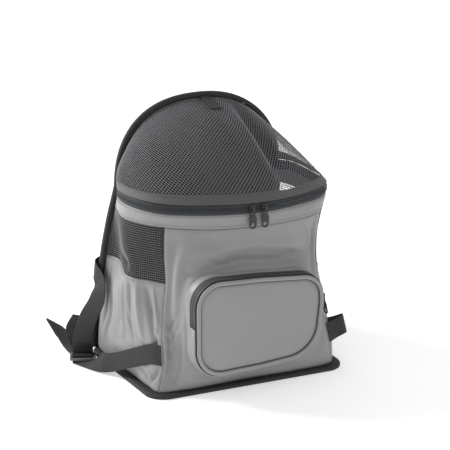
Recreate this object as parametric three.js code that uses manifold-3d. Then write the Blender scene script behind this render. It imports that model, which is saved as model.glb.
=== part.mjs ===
import * as THREE from 'three';
import { mergeVertices } from 'three/addons/utils/BufferGeometryUtils.js';
import Module from 'manifold-3d';

// A soft backpack for carrying a small pet, standing on its base with its net lid zipped shut.
// Millimetres. X runs to the right seen from the front, Y to the back, Z up, from the middle of the base's
// underside. Tables give lengths as shares of the sizes named in their comment.

const wasm = await Module();
wasm.setup();

// Base, body and arch
const baseWidth = 320;
const baseDepth = 242;
const baseCorner = 30;
const baseSkew = 8; // the right front corner stands this much further forward than the left
const boardThickness = 4.6;
const bagHeight = 403;
const rimHeight = 270;
const archRise = 125;
const archHalfWidth = 138;
const archPower = 2.3;
const collarHeight = 22;
const windowHeight = 83;

// Walls and edges
const clothWall = 1.6;
const netWall = 1.2;
const backWall = 6;
const bindingWidth = 7;
const baseBindingWidth = 12.5;
const baseBindingHeight = 6;
const baseBindingWall = 3;
const seamGap = 0.3;
const backGap = 0.8;

// Rim zip and lid
const tapeHeight = 6;
const coilHeight = 2.6;
const coilThickness = 2.6;
const lidBandHeight = 13;
const domeRise = 25;
const archSeat = 1.3;
const tabWidth = 18;
const tabLength = 38;
const tabOffset = 22;

// Front pocket
const pocketWidth = 208;
const pocketBottom = 36.5;
const pocketTop = 182;
const pocketDrop = 11; // the top's right end hangs this much lower than its left end
const pocketReach = 29; // how far the pocket stands in front of the base's front edge
const pocketCrown = 4;
const pipingRadius = 3.2;
const pocketZipWidth = 16;
const pocketZipStart = 113;
const pocketZipEnd = 122;

// Zip sliders and pulls
const sliderWidth = 9;
const sliderLength = 12;
const sliderThickness = 3;
const archBarWidth = 3;
const archBarThickness = 1.2;
const archOpening = 2.4;
const pullLength = 28;
const pullWidth = 12;
const pullThickness = 1.6;
const pullBar = 1.6;
const rimSliderPlaces = { left: -4, right: 15 };

// Webbing and its adjusters
const webbingWidth = 31;
const webbingThickness = 1.6;
const buckleBar = 3.5;
const buckleSlot = 8;
const buckleThickness = 4;
const buckleRail = 3;
const slotClearance = 1.4;

const halfWidth = baseWidth / 2;
const halfDepth = baseDepth / 2;
const standHeight = baseBindingHeight + seamGap;
const springHeight = bagHeight - archRise;
const windowTop = rimHeight - collarHeight;
const windowBottom = windowTop - windowHeight;
const zipTop = rimHeight + 2 * tapeHeight + coilHeight + 2 * seamGap;

const grey = { color: 0x8f8d90, roughness: 0.55, metalness: 0 };
const black = { color: 0x33342f, roughness: 0.75, metalness: 0 };
const net = { color: 0x3c3f42, roughness: 0.8, metalness: 0 };
const tape = { color: 0x2c2f33, roughness: 0.7, metalness: 0 };
const enamel = { color: 0x1d2124, roughness: 0.3, metalness: 0.6 };
const plastic = { color: 0x6c6a6b, roughness: 0.45, metalness: 0 };

const bag = new THREE.Group();

function addPiece(name, geometry, finish, parent = bag) {
  const mesh = new THREE.Mesh(geometry, new THREE.MeshStandardMaterial(finish));
  mesh.name = name;
  parent.add(mesh);
  return mesh;
}

// Tables: the first row names the columns
function table(columns, rows) {
  return rows.map((row) => Object.fromEntries(columns.map((column, i) => [column, row[i]])));
}

// A smooth curve through one column of a table, read at any place along its first column
function readTable(rows, column, along, place) {
  const last = rows.length - 1;
  let i = 0;
  while (i < last - 1 && rows[i + 1][along] < place) i += 1;
  const slope = (k) => {
    const a = rows[Math.max(k - 1, 0)];
    const b = rows[Math.min(k + 1, last)];
    return (b[column] - a[column]) / (b[along] - a[along]);
  };
  const span = rows[i + 1][along] - rows[i][along];
  const t = THREE.MathUtils.clamp((place - rows[i][along]) / span, 0, 1);
  const rise = 3 * t * t - 2 * t * t * t;
  return rows[i][column] * (1 - rise) + rows[i + 1][column] * rise
    + span * (slope(i) * t * (1 - t) * (1 - t) - slope(i + 1) * t * t * (1 - t));
}

// Horizontal sections of the walls: height as a share of the rim's, X of half the base's width and Y of half
// its depth. Each side has a fold near the back, its fullest place, the round front corner and the seam.
const sideColumns = ['height', 'foldX', 'foldY', 'sideX', 'sideY', 'cornerX', 'cornerY', 'seamX', 'seamY'];
const leftSections = table(sideColumns, [
  [0.02, 0.940, 0.58, 0.930, -0.04, 0.925, -0.60, 0.900, -0.84],
  [0.15, 0.980, 0.59, 0.980, 0.00, 0.930, -0.51, 0.838, -0.79],
  [0.31, 0.940, 0.54, 0.970, -0.04, 0.920, -0.47, 0.830, -0.75],
  [0.47, 0.906, 0.48, 0.970, -0.08, 0.894, -0.45, 0.794, -0.69],
  [0.61, 0.856, 0.42, 0.980, -0.15, 0.875, -0.42, 0.756, -0.65],
  [0.77, 0.870, 0.38, 0.970, -0.10, 0.870, -0.37, 0.750, -0.60],
  [0.92, 0.910, 0.31, 0.950, -0.03, 0.880, -0.31, 0.730, -0.57],
  [1.00, 0.910, 0.27, 0.937, -0.04, 0.863, -0.39, 0.720, -0.65],
  [1.06, 0.920, 0.25, 0.930, -0.06, 0.850, -0.40, 0.705, -0.635],
]);
const rightSections = table(sideColumns, [
  [0.02, 0.940, 0.58, 0.940, -0.04, 0.940, -0.66, 0.890, -0.90],
  [0.15, 0.980, 0.59, 0.985, -0.04, 0.950, -0.70, 0.856, -0.92],
  [0.31, 0.940, 0.54, 0.970, -0.04, 0.906, -0.68, 0.800, -0.89],
  [0.47, 0.906, 0.48, 0.960, -0.08, 0.856, -0.65, 0.763, -0.87],
  [0.61, 0.862, 0.42, 0.960, -0.12, 0.820, -0.63, 0.738, -0.84],
  [0.77, 0.870, 0.38, 0.956, -0.08, 0.820, -0.64, 0.744, -0.83],
  [0.92, 0.900, 0.33, 0.944, -0.04, 0.863, -0.66, 0.756, -0.87],
  [1.00, 0.906, 0.29, 0.944, -0.07, 0.906, -0.65, 0.780, -0.85],
  [1.06, 0.906, 0.28, 0.940, -0.08, 0.913, -0.64, 0.778, -0.83],
]);
const frontColumns = ['height', 'leftX', 'leftY', 'middleY', 'rightX', 'rightY'];
const frontSections = table(frontColumns, [
  [0.02, 0.620, -0.92, -0.92, 0.450, -0.95],
  [0.15, 0.630, -0.98, -0.99, 0.425, -1.00],
  [0.31, 0.630, -1.03, -1.06, 0.410, -1.03],
  [0.47, 0.620, -1.03, -1.07, 0.400, -1.01],
  [0.61, 0.580, -1.00, -1.05, 0.390, -1.00],
  [0.77, 0.480, -0.91, -0.98, 0.390, -0.98],
  [0.92, 0.375, -0.89, -1.02, 0.390, -1.03],
  [1.00, 0.375, -0.90, -1.05, 0.390, -1.03],
  [1.06, 0.365, -0.88, -1.03, 0.390, -1.01],
]);

// Side view of the back panel's front face: height as a share of the bag's, Y of half the base's depth
const backProfile = table(['height', 'y'], [
  [0.00, 0.935], [0.12, 0.870], [0.27, 0.770], [0.40, 0.675],
  [0.56, 0.560], [0.69, 0.470], [0.82, 0.480], [1.00, 0.580],
]);

// Dents of the walls: place round the bag in stations, height as a share of the rim's, how far each spreads
// and how deep it is as a share of half the base's depth, outward if negative
const dents = table(['around', 'height', 'wide', 'high', 'deep'], [
  [7.25, 0.715, 0.55, 0.050, 0.065],
  [5.40, 0.720, 0.60, 0.060, 0.030],
  [4.42, 0.270, 0.24, 0.140, 0.050],
  [1.80, 0.670, 0.34, 0.050, 0.065],
  [2.60, 0.450, 0.50, 0.120, -0.030],
  [1.20, 0.330, 0.40, 0.120, 0.045],
  [8.30, 0.800, 0.22, 0.100, 0.035],
]);

const stations = 12;
const frontSeamLeft = 4;
const frontSeamRight = 8;

function backY(z) {
  return readTable(backProfile, 'y', 'height', z / bagHeight) * halfDepth;
}

// Half the back panel's width inside its binding: nearly straight up to the arch, then a squared arch
function backHalfWidth(z) {
  if (z <= springHeight) {
    const narrowing = (z / springHeight) ** 3;
    return THREE.MathUtils.lerp(halfWidth - 5, archHalfWidth, narrowing) - bindingWidth;
  }
  const rise = archRise - bindingWidth;
  const share = Math.min((z - springHeight) / rise, 1);
  return (archHalfWidth - bindingWidth) * (1 - share ** archPower) ** (1 / archPower);
}

function dentDepth(around, height) {
  return dents.reduce((sum, dent) => {
    const across = (around - dent.around) / dent.wide;
    const up = (height - dent.height) / dent.high;
    return sum + dent.deep * halfDepth * Math.exp(-across * across - up * up);
  }, 0);
}

// The outer surface of the walls: around runs 0 to 12 from the back left edge, past the front, to the back right
function smoothWall(around, z) {
  const height = z / rimHeight;
  const side = (sections, sign, name) => new THREE.Vector3(
    sign * halfWidth * readTable(sections, `${name}X`, 'height', height),
    halfDepth * readTable(sections, `${name}Y`, 'height', height),
    z,
  );
  const front = (x, name) => new THREE.Vector3(
    x * halfWidth,
    halfDepth * readTable(frontSections, `${name}Y`, 'height', height),
    z,
  );
  const edge = (sign) => new THREE.Vector3(sign * (backHalfWidth(z) - 1), backY(z) - backGap, z);
  const names = ['fold', 'side', 'corner', 'seam'];
  const points = [
    edge(-1),
    ...names.map((name) => side(leftSections, -1, name)),
    front(-readTable(frontSections, 'leftX', 'height', height), 'left'),
    front(0, 'middle'),
    front(readTable(frontSections, 'rightX', 'height', height), 'right'),
    ...names.reverse().map((name) => side(rightSections, 1, name)),
    edge(1),
  ];
  return new THREE.CatmullRomCurve3(points, false, 'centripetal').getPoint(around / stations);
}

function outwardAt(surface, around, z, step = 0.02, rise = 0.5) {
  const inside = THREE.MathUtils.clamp(around, step, stations - step);
  const across = surface(inside + step, z).sub(surface(inside - step, z));
  const up = surface(inside, z + rise).sub(surface(inside, z - rise));
  return across.cross(up).normalize();
}

const wallPoints = new Map();

function wallAt(around, z) {
  const key = `${around.toFixed(4)} ${z.toFixed(3)}`;
  if (!wallPoints.has(key)) {
    const out = outwardAt(smoothWall, around, z);
    out.z = 0;
    const edgeFade = Math.min(around, stations - around, 1);
    const depth = dentDepth(around, z / rimHeight) * edgeFade;
    wallPoints.set(key, smoothWall(around, z).addScaledVector(out.normalize(), -depth));
  }
  return wallPoints.get(key).clone();
}

const wallOut = (around, z) => outwardAt(wallAt, around, z);

// A station moved round the wall by a length
function moveAround(around, z, length) {
  const step = 0.05;
  const a = THREE.MathUtils.clamp(around - step, 0, stations);
  const b = THREE.MathUtils.clamp(around + step, 0, stations);
  return around + length * (b - a) / wallAt(a, z).distanceTo(wallAt(b, z));
}

function spread(from, to, count) {
  return Array.from({ length: count + 1 }, (_, i) => THREE.MathUtils.lerp(from, to, i / count));
}

// A closed body between two grids of points, rows of columns. A ring's last column meets its first.
function bodyBetween(outer, inner, ring = false) {
  const rows = outer.length;
  const columns = outer[0].length;
  const corners = [...outer.flat(), ...inner.flat()];
  const at = (layer, row, column) => (layer * rows + row) * columns + (column % columns);
  const faces = [];
  const quad = (a, b, c, d) => faces.push(a, b, c, a, c, d);
  const wide = ring ? columns : columns - 1;
  for (let row = 0; row < rows - 1; row += 1) {
    for (let column = 0; column < wide; column += 1) {
      quad(at(0, row, column), at(0, row, column + 1), at(0, row + 1, column + 1), at(0, row + 1, column));
      quad(at(1, row, column), at(1, row + 1, column), at(1, row + 1, column + 1), at(1, row, column + 1));
    }
  }
  for (let column = 0; column < wide; column += 1) {
    quad(at(1, 0, column), at(1, 0, column + 1), at(0, 0, column + 1), at(0, 0, column));
    const top = rows - 1;
    quad(at(0, top, column), at(0, top, column + 1), at(1, top, column + 1), at(1, top, column));
  }
  for (let row = 0; row < rows - 1 && !ring; row += 1) {
    quad(at(0, row, 0), at(0, row + 1, 0), at(1, row + 1, 0), at(1, row, 0));
    const end = columns - 1;
    quad(at(1, row, end), at(1, row + 1, end), at(0, row + 1, end), at(0, row, end));
  }
  return facedOut(corners, faces);
}

// A closed body swept through sections of the same corners, capped at its ends unless it is a ring
function bodyThrough(sections, ring = false) {
  const size = sections[0].length;
  const faces = [];
  const count = ring ? sections.length : sections.length - 1;
  for (let i = 0; i < count; i += 1) {
    const next = (i + 1) % sections.length;
    for (let k = 0; k < size; k += 1) {
      const a = i * size + k;
      const b = i * size + ((k + 1) % size);
      const c = next * size + ((k + 1) % size);
      const d = next * size + k;
      faces.push(a, b, c, a, c, d);
    }
  }
  const last = (sections.length - 1) * size;
  for (let k = 1; k < size - 1 && !ring; k += 1) {
    faces.push(0, k + 1, k, last, last + k, last + k + 1);
  }
  return facedOut(sections.flat(), faces);
}

function facedOut(corners, faces) {
  const volume = faces.reduce((sum, corner, i) => {
    if (i % 3 !== 0) return sum;
    const [a, b, c] = [corners[corner], corners[faces[i + 1]], corners[faces[i + 2]]];
    return sum + a.dot(b.clone().cross(c));
  }, 0);
  const turned = volume < 0 ? faces.map((_, i) => faces[i - (i % 3) + [0, 2, 1][i % 3]]) : faces;
  const geometry = new THREE.BufferGeometry();
  geometry.setAttribute('position', new THREE.Float32BufferAttribute(corners.flatMap((p) => p.toArray()), 3));
  geometry.setIndex(turned);
  return geometry;
}

function toSolid(geometry) {
  const bare = geometry.clone();
  bare.deleteAttribute('normal');
  bare.deleteAttribute('uv');
  const merged = mergeVertices(bare, 0.0001);
  const vertProperties = new Float32Array(merged.attributes.position.array);
  const triVerts = new Uint32Array(merged.index.array);
  return new wasm.Manifold(new wasm.Mesh({ numProp: 3, vertProperties, triVerts }));
}

function fromSolid(solid) {
  const { vertProperties, triVerts } = solid.getMesh();
  const geometry = new THREE.BufferGeometry();
  geometry.setAttribute('position', new THREE.Float32BufferAttribute(vertProperties, 3));
  geometry.setIndex(Array.from(triVerts));
  return geometry;
}

// A sewn panel of the wall between two stations and two heights
function wallPanel(fromStation, toStation, bottom, top, columns, rows, thickness = clothWall, proud = 0) {
  const heights = spread(bottom + seamGap / 2, top - seamGap / 2, rows);
  const grid = (depth) => heights.map((z) => {
    const from = fromStation === 0 ? 0 : moveAround(fromStation, z, seamGap / 2);
    const to = toStation === stations ? stations : moveAround(toStation, z, -seamGap / 2);
    return spread(from, to, columns).map((around) => (
      wallAt(around, z).addScaledVector(wallOut(around, z), -depth)));
  });
  return bodyBetween(grid(-proud), grid(thickness));
}

// Base outline at an inset from its edge, with the same places for every inset
const cornerSteps = 5;
function baseOutline(inset) {
  const corners = [[-1, -1, 180], [1, -1, 270], [1, 1, 0], [-1, 1, 90]];
  return corners.flatMap(([sideX, sideY, start]) => spread(start, start + 90, cornerSteps).map((degrees) => {
    const angle = THREE.MathUtils.degToRad(degrees);
    const x = sideX * (halfWidth - baseCorner) + (baseCorner - inset) * Math.cos(angle);
    const y = sideY * (halfDepth - baseCorner) + (baseCorner - inset) * Math.sin(angle);
    const forward = Math.max(-y / halfDepth, 0) * baseSkew * (x / baseWidth + 0.25);
    return new THREE.Vector2(x, y - forward);
  }));
}

function makeBase() {
  const boardInset = baseBindingWall + seamGap;
  const outline = baseOutline(boardInset);
  const board = new THREE.Shape(outline);
  addPiece('base_board', new THREE.ExtrudeGeometry(board, { depth: boardThickness, bevelEnabled: false }), grey);
  const lip = boardThickness + seamGap;
  const section = [
    [0, 1], [baseBindingWall, 0], [baseBindingWall, lip],
    [baseBindingWidth, lip], [baseBindingWidth, baseBindingHeight], [1.5, baseBindingHeight], [0, 4.5],
  ];
  const rings = section.map(([inset, z]) => baseOutline(inset).map((p) => new THREE.Vector3(p.x, p.y, z)));
  const places = rings[0].map((_, i) => rings.map((ring) => ring[i]));
  addPiece('base_binding', bodyThrough(places, true), black);
}

// Heights of the back panel's rows, close together near the top of the arch
function backHeights() {
  const straight = spread(standHeight, springHeight, 9);
  const arch = [0.2, 0.38, 0.54, 0.68, 0.8, 0.89, 0.95, 0.985, 0.998];
  return [...straight, ...arch.map((share) => springHeight + share * (archRise - bindingWidth))];
}

function makeBack() {
  const heights = backHeights();
  const face = (depth) => heights.map((z) => spread(-1, 1, 6).map((across) => (
    new THREE.Vector3(across * backHalfWidth(z), backY(z) + depth, z))));
  const front = face(0);
  addPiece('back_panel', bodyBetween(front, face(backWall)), black);

  const top = front[front.length - 1];
  const edge = [
    ...front.slice(0, -1).map((row) => row[0]),
    ...top,
    ...front.slice(0, -1).reverse().map((row) => row[row.length - 1]),
  ];
  const sections = edge.map((point, i) => {
    const before = edge[Math.max(i - 1, 0)];
    const after = edge[Math.min(i + 1, edge.length - 1)];
    const into = new THREE.Vector2(point.x - before.x, point.z - before.z);
    const away = new THREE.Vector2(after.x - point.x, after.z - point.z);
    const along = into.normalize().add(away.normalize()).normalize();
    const outward = new THREE.Vector2(-along.y, along.x);
    const reach = (length, y) => new THREE.Vector3(
      point.x + outward.x * length,
      backY(point.z) + y,
      point.z + outward.y * length,
    );
    const lip = 1.4;
    return [
      reach(seamGap, -lip), reach(bindingWidth * 0.75, -lip), reach(bindingWidth, 1),
      reach(bindingWidth, backWall - 1), reach(bindingWidth * 0.75, backWall + lip),
      reach(seamGap, backWall + lip),
    ];
  });
  addPiece('back_binding', bodyThrough(sections), black);
}

function makeWalls() {
  addPiece('front_panel', wallPanel(frontSeamLeft, frontSeamRight, standHeight, windowTop, 22, 12), grey);
  const sides = { left: [0, frontSeamLeft], right: [frontSeamRight, stations] };
  for (const [side, [from, to]] of Object.entries(sides)) {
    addPiece(`side_panel_${side}`, wallPanel(from, to, standHeight, windowBottom, 13, 8), grey);
    addPiece(`window_net_${side}`, wallPanel(from, to, windowBottom, windowTop, 13, 5, netWall), net);
  }
  addPiece('collar_band', wallPanel(0, stations, windowTop, rimHeight, 44, 2), grey);
}

function makeRimZip() {
  const coilBottom = rimHeight + tapeHeight + seamGap;
  const coilTop = coilBottom + coilHeight;
  const end = 0.12;
  const strip = (bottom, top, proud) => (
    wallPanel(end, stations - end, bottom, top, 44, 1, clothWall, proud));
  addPiece('rim_tape_lower', strip(rimHeight, coilBottom, 0), tape);
  addPiece('rim_coil', strip(coilBottom, coilTop, coilThickness - clothWall - 0.4), tape);
  addPiece('rim_tape_upper', strip(coilTop, zipTop, 0), tape);
}

// Lid: rulings from the rim to the arch, raised into a dome at the left, with a ridge and a valley beside it.
// Across and spread are shares of the way round the rim, depth a share of the dome's rise, and slant is how far
// each runs sideways on its way up to the arch.
const lidFolds = table(['across', 'slant', 'spread', 'deep'], [
  [0.535, 0.065, 0.045, -0.22],
  [0.580, 0.075, 0.030, 0.50],
  [0.640, 0.060, 0.035, -0.12],
]);
const lidRise = table(['across', 'rise'], [
  [0.00, 0.05], [0.12, 0.45], [0.30, 0.90], [0.46, 1.00],
  [0.56, 0.60], [0.62, 0.22], [0.75, 0.12], [1.00, 0.05],
]);

function archPoint(across) {
  const reach = archHalfWidth - bindingWidth - archSeat;
  const rise = archRise - bindingWidth - archSeat;
  const start = 0.07;
  const angle = Math.PI * (1 - THREE.MathUtils.lerp(start, 1 - start, across));
  const round = (value) => Math.sign(value) * Math.abs(value) ** (2 / archPower);
  const z = springHeight + rise * round(Math.sin(angle));
  return new THREE.Vector3(reach * round(Math.cos(angle)), backY(z) - archSeat, z);
}

function rimPoint(across) {
  const around = THREE.MathUtils.lerp(0.12, stations - 0.12, across);
  const z = zipTop + netWall + seamGap;
  const point = wallAt(around, zipTop);
  return new THREE.Vector3(point.x, point.y, z);
}

// Equal lengths round the rim, as a table of stations
const rimLengths = (() => {
  const steps = 96;
  const shares = [0];
  for (let i = 1; i <= steps; i += 1) {
    shares.push(shares[i - 1] + rimPoint(i / steps).distanceTo(rimPoint((i - 1) / steps)));
  }
  return shares.map((length) => length / shares[steps]);
})();

function evenRim(share) {
  const last = rimLengths.length - 1;
  let i = 0;
  while (i < last - 1 && rimLengths[i + 1] < share) i += 1;
  const part = (share - rimLengths[i]) / (rimLengths[i + 1] - rimLengths[i]);
  return rimPoint((i + part) / last);
}

function lidAt(across, up) {
  const low = evenRim(across);
  const point = low.clone().lerp(archPoint(across), up);
  const along = archPoint(across).sub(low);
  const step = 0.02;
  const a = evenRim(Math.max(across - step, 0)).lerp(archPoint(Math.max(across - step, 0)), 0.5);
  const b = evenRim(Math.min(across + step, 1)).lerp(archPoint(Math.min(across + step, 1)), 0.5);
  const out = b.sub(a).cross(along).normalize();
  const arch = Math.sin(Math.PI * up);
  const folds = lidFolds.reduce((sum, fold) => {
    const away = (across - fold.across - fold.slant * up) / fold.spread;
    return sum - fold.deep * Math.exp(-away * away);
  }, 0);
  const rise = readTable(lidRise, 'rise', 'across', across) + folds;
  return point.addScaledVector(out, domeRise * rise * arch);
}

function lidOut(across, up) {
  const step = 0.01;
  const x = THREE.MathUtils.clamp(across, step, 1 - step);
  const y = THREE.MathUtils.clamp(up, step, 1 - step);
  const side = lidAt(x + step, y).sub(lidAt(x - step, y));
  const rise = lidAt(x, y + step).sub(lidAt(x, y - step));
  return side.cross(rise).normalize();
}

// Where the lid's smooth band ends, as a share of the way up from the rim
function bandShare(across) {
  const length = evenRim(across).distanceTo(archPoint(across));
  return Math.min(lidBandHeight / length, 0.45);
}

function lidSheet(from, to, columns, rows) {
  const grid = (depth) => spread(0, 1, rows).map((up) => spread(0.004, 0.996, columns).map((across) => {
    const height = THREE.MathUtils.lerp(from(across), to(across), up);
    return lidAt(across, height).addScaledVector(lidOut(across, height), -depth);
  }));
  return bodyBetween(grid(0), grid(netWall));
}

function makeLid() {
  const gapShare = (across) => seamGap * bandShare(across) / lidBandHeight;
  addPiece('lid_band', lidSheet(() => 0, bandShare, 44, 1), tape);
  addPiece('lid_net', lidSheet((across) => bandShare(across) + gapShare(across), () => 1, 44, 8), net);
}

function makeTab() {
  const middle = spread(0.3, 0.7, 80).reduce((best, across) => (
    Math.abs(archPoint(across).x - tabOffset) < Math.abs(archPoint(best).x - tabOffset) ? across : best), 0.5);
  const length = evenRim(middle).distanceTo(archPoint(middle));
  const half = tabWidth / 2 / 300;
  const grid = (height) => spread(1, 1 - tabLength / length, 4).map((up) => (
    spread(middle - half, middle + half, 2).map((across) => (
      lidAt(across, up).addScaledVector(lidOut(across, Math.min(up, 0.97)), height)))));
  addPiece('top_tab', bodyBetween(grid(seamGap + 0.2 + clothWall), grid(seamGap + 0.2)), black);
}

// Corners of the pocket's outline: sideways as a share of half its width, then height and radius
const pocketCorners = table(['across', 'z', 'radius', 'from', 'zip'], [
  [-1.00, pocketTop, 38, 180, true],
  [1.00, pocketTop - pocketDrop, 36, 90, true],
  [0.97, pocketBottom + 4, 56, 0, false],
  [-1.00, pocketBottom, 42, -90, false],
]);

// The pocket's outline at an inset, seen from the front, from the left side's zip end up over the top.
// Each place says whether the zip runs there.
function pocketOutline(inset) {
  const half = pocketWidth / 2;
  const near = 0.25;
  const arc = ({ across, z, radius, from, zip }) => spread(from, from - 90, 6).map((degrees) => {
    const angle = THREE.MathUtils.degToRad(degrees);
    const upper = from > 0 && from <= 180 && zip;
    const middle = { x: across * half - Math.sign(across) * radius, z: z + (upper ? -radius : radius) };
    const reach = radius - inset;
    return { x: middle.x + reach * Math.cos(angle), z: middle.z + reach * Math.sin(angle), zip };
  });
  const [topLeft, topRight, lowRight, lowLeft] = pocketCorners.map(arc);
  return [
    { x: inset - half, z: pocketZipStart - near, zip: false },
    { x: inset - half, z: pocketZipStart + near, zip: true },
    ...topLeft,
    { x: 0, z: pocketTop - pocketDrop * 0.35 - inset, zip: true },
    ...topRight,
    { x: half - inset, z: pocketZipEnd + near, zip: true },
    { x: half - inset, z: pocketZipEnd - near, zip: false },
    ...lowRight,
    { x: 0, z: pocketBottom + 1 + inset, zip: false },
    ...lowLeft,
  ];
}

const pocketFront = -(halfDepth + pocketReach);
const gussetFront = pocketFront + pipingRadius - 0.85;

// Y of the front panel's outer face at a place seen from the front
function frontFace(x, z) {
  let low = frontSeamLeft;
  let high = frontSeamRight;
  for (let i = 0; i < 24; i += 1) {
    const middle = (low + high) / 2;
    if (wallAt(middle, z).x < x) low = middle;
    else high = middle;
  }
  return wallAt((low + high) / 2, z).y;
}

function makePocket() {
  const skin = -1;
  const ring = (inset, y) => pocketOutline(inset).map((place) => (
    new THREE.Vector3(place.x, y(place), place.z)));
  const zipBack = gussetFront + pocketZipWidth;
  const rear = (place) => frontFace(place.x, place.z) + 6;
  const fore = (place) => (place.zip ? zipBack + seamGap : gussetFront);
  const middle = (place) => (rear(place) + fore(place)) / 2;
  const gusset = bodyBetween(
    [ring(skin, rear), ring(skin - 1, middle), ring(skin, fore)],
    [ring(skin + clothWall, rear), ring(skin + clothWall - 1, middle), ring(skin + clothWall, fore)],
    true,
  );
  const clearOfFront = wallPanel(frontSeamLeft, frontSeamRight, standHeight, windowTop, 22, 12, 14, seamGap);
  addPiece('pocket_gusset', fromSolid(toSolid(gusset).subtract(toSolid(clearOfFront))), grey);

  const zipPart = (inset, y) => pocketOutline(inset).filter((place) => place.zip)
    .map((place, i, all) => {
      const end = i === 0 || i === all.length - 1;
      return new THREE.Vector3(place.x, y, place.z + (end ? seamGap : 0));
    });
  addPiece('pocket_zip', bodyBetween(
    [zipPart(skin, zipBack), zipPart(skin, gussetFront)],
    [zipPart(skin + clothWall, zipBack), zipPart(skin + clothWall, gussetFront)],
  ), tape);

  const sides = 8;
  const tube = pocketOutline(pipingRadius).map((place, i) => spread(0, 360, sides).slice(0, -1).map((turn) => {
    const angle = THREE.MathUtils.degToRad(turn);
    const wider = pocketOutline(pipingRadius - pipingRadius * Math.cos(angle))[i];
    return new THREE.Vector3(wider.x, pocketFront + pipingRadius * Math.sin(angle), wider.z);
  }));
  addPiece('pocket_piping', bodyThrough(tube, true), grey);

  addPiece('pocket_front', pocketFace(), grey);
}

// The crowned front cloth: rings that shrink towards the middle, closed by a fan on each face
function pocketFace() {
  const border = 2 * pipingRadius + seamGap;
  const centre = { x: 0, z: (pocketTop + pocketBottom - pocketDrop / 2) / 2 };
  const outline = pocketOutline(border);
  const shares = [1, 0.86, 0.6, 0.3];
  const ring = (share, back) => outline.map((place) => new THREE.Vector3(
    THREE.MathUtils.lerp(centre.x, place.x, share),
    pocketFront - pocketCrown * (1 - share ** 4) + back,
    THREE.MathUtils.lerp(centre.z, place.z, share),
  ));
  const rings = [...shares.map((share) => ring(share, 0)).reverse(), ...shares.map((share) => ring(share, clothWall))];
  const size = outline.length;
  const corners = [...rings.flat()];
  const faces = [];
  for (let row = 0; row < rings.length - 1; row += 1) {
    for (let k = 0; k < size; k += 1) {
      const next = (k + 1) % size;
      const [a, b] = [row * size + k, row * size + next];
      faces.push(a, b, b + size, a, b + size, a + size);
    }
  }
  corners.push(new THREE.Vector3(centre.x, pocketFront - pocketCrown, centre.z));
  corners.push(new THREE.Vector3(centre.x, pocketFront - pocketCrown + clothWall, centre.z));
  const end = rings.flat().length;
  for (let k = 0; k < size; k += 1) {
    const next = (k + 1) % size;
    faces.push(end, next, k);
    faces.push(end + 1, end - size + k, end - size + next);
  }
  return facedOut(corners, faces);
}

// A zip slider faces -Y with its zip along Z: a body, and an arch that the pull's bar hangs in
function sliderBody() {
  const half = sliderWidth / 2;
  const long = sliderLength / 2;
  const plan = new THREE.Shape([
    new THREE.Vector2(-half * 0.6, -long), new THREE.Vector2(half * 0.6, -long),
    new THREE.Vector2(half, 0), new THREE.Vector2(half * 0.8, long),
    new THREE.Vector2(-half * 0.8, long), new THREE.Vector2(-half, 0),
  ]);
  const body = new THREE.ExtrudeGeometry(plan, { depth: sliderThickness, bevelEnabled: false });
  body.rotateX(Math.PI / 2);
  const reach = archOpening + archBarThickness;
  const foot = long * 0.7;
  const profile = new THREE.Shape([
    new THREE.Vector2(0.5, -foot), new THREE.Vector2(0.5, foot), new THREE.Vector2(-reach * 0.8, foot),
    new THREE.Vector2(-reach, foot * 0.7), new THREE.Vector2(-reach, -foot * 0.7),
    new THREE.Vector2(-reach * 0.8, -foot),
  ]);
  const hole = foot - archBarThickness;
  profile.holes.push(new THREE.Path([
    new THREE.Vector2(0, -hole), new THREE.Vector2(-archOpening, -hole),
    new THREE.Vector2(-archOpening, hole), new THREE.Vector2(0, hole),
  ]));
  const arch = new THREE.ExtrudeGeometry(profile, { depth: archBarWidth, bevelEnabled: false });
  arch.rotateX(Math.PI / 2);
  arch.rotateZ(Math.PI / 2);
  arch.computeBoundingBox();
  const centre = arch.boundingBox.getCenter(new THREE.Vector3());
  arch.translate(-centre.x, -sliderThickness + 0.5 - arch.boundingBox.max.y, -centre.z);
  body.computeBoundingBox();
  body.translate(0, -body.boundingBox.max.y, 0);
  return fromSolid(toSolid(body).add(toSolid(arch)));
}

// The pull hangs from its own bar, which lies along X through the origin
function pullPlate() {
  const half = pullWidth / 2;
  const eyeHalf = archBarWidth / 2 + 0.9;
  const eyeLength = 6.6;
  const shoulder = eyeLength + 0.9;
  const neck = eyeHalf + 1.3;
  const top = pullBar / 2;
  const low = -pullLength + half;
  const round = (radius, from, to, count) => spread(from, to, count).map((degrees) => {
    const angle = THREE.MathUtils.degToRad(degrees);
    return new THREE.Vector2(radius * Math.cos(angle), low + radius * Math.sin(angle));
  });
  const outline = new THREE.Shape([
    new THREE.Vector2(-neck, top), new THREE.Vector2(-neck, -shoulder), new THREE.Vector2(-half, -shoulder - 3),
    ...round(half, 180, 360, 8),
    new THREE.Vector2(half, -shoulder - 3), new THREE.Vector2(neck, -shoulder), new THREE.Vector2(neck, top),
  ]);
  const eye = new THREE.Path([
    new THREE.Vector2(-eyeHalf, -top), new THREE.Vector2(-eyeHalf, -eyeLength),
    new THREE.Vector2(eyeHalf, -eyeLength), new THREE.Vector2(eyeHalf, -top),
  ]);
  const end = new THREE.Path(round(half * 0.55, 0, 315, 7));
  outline.holes.push(eye, end);
  const plate = new THREE.ExtrudeGeometry(outline, { depth: pullThickness, bevelEnabled: false });
  plate.rotateX(Math.PI / 2);
  plate.translate(0, pullThickness / 2, 0);
  return plate;
}

const pullReach = sliderThickness + archOpening / 2;
const pullHang = sliderLength / 2 * 0.7 - archBarThickness - 1.4;

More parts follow.
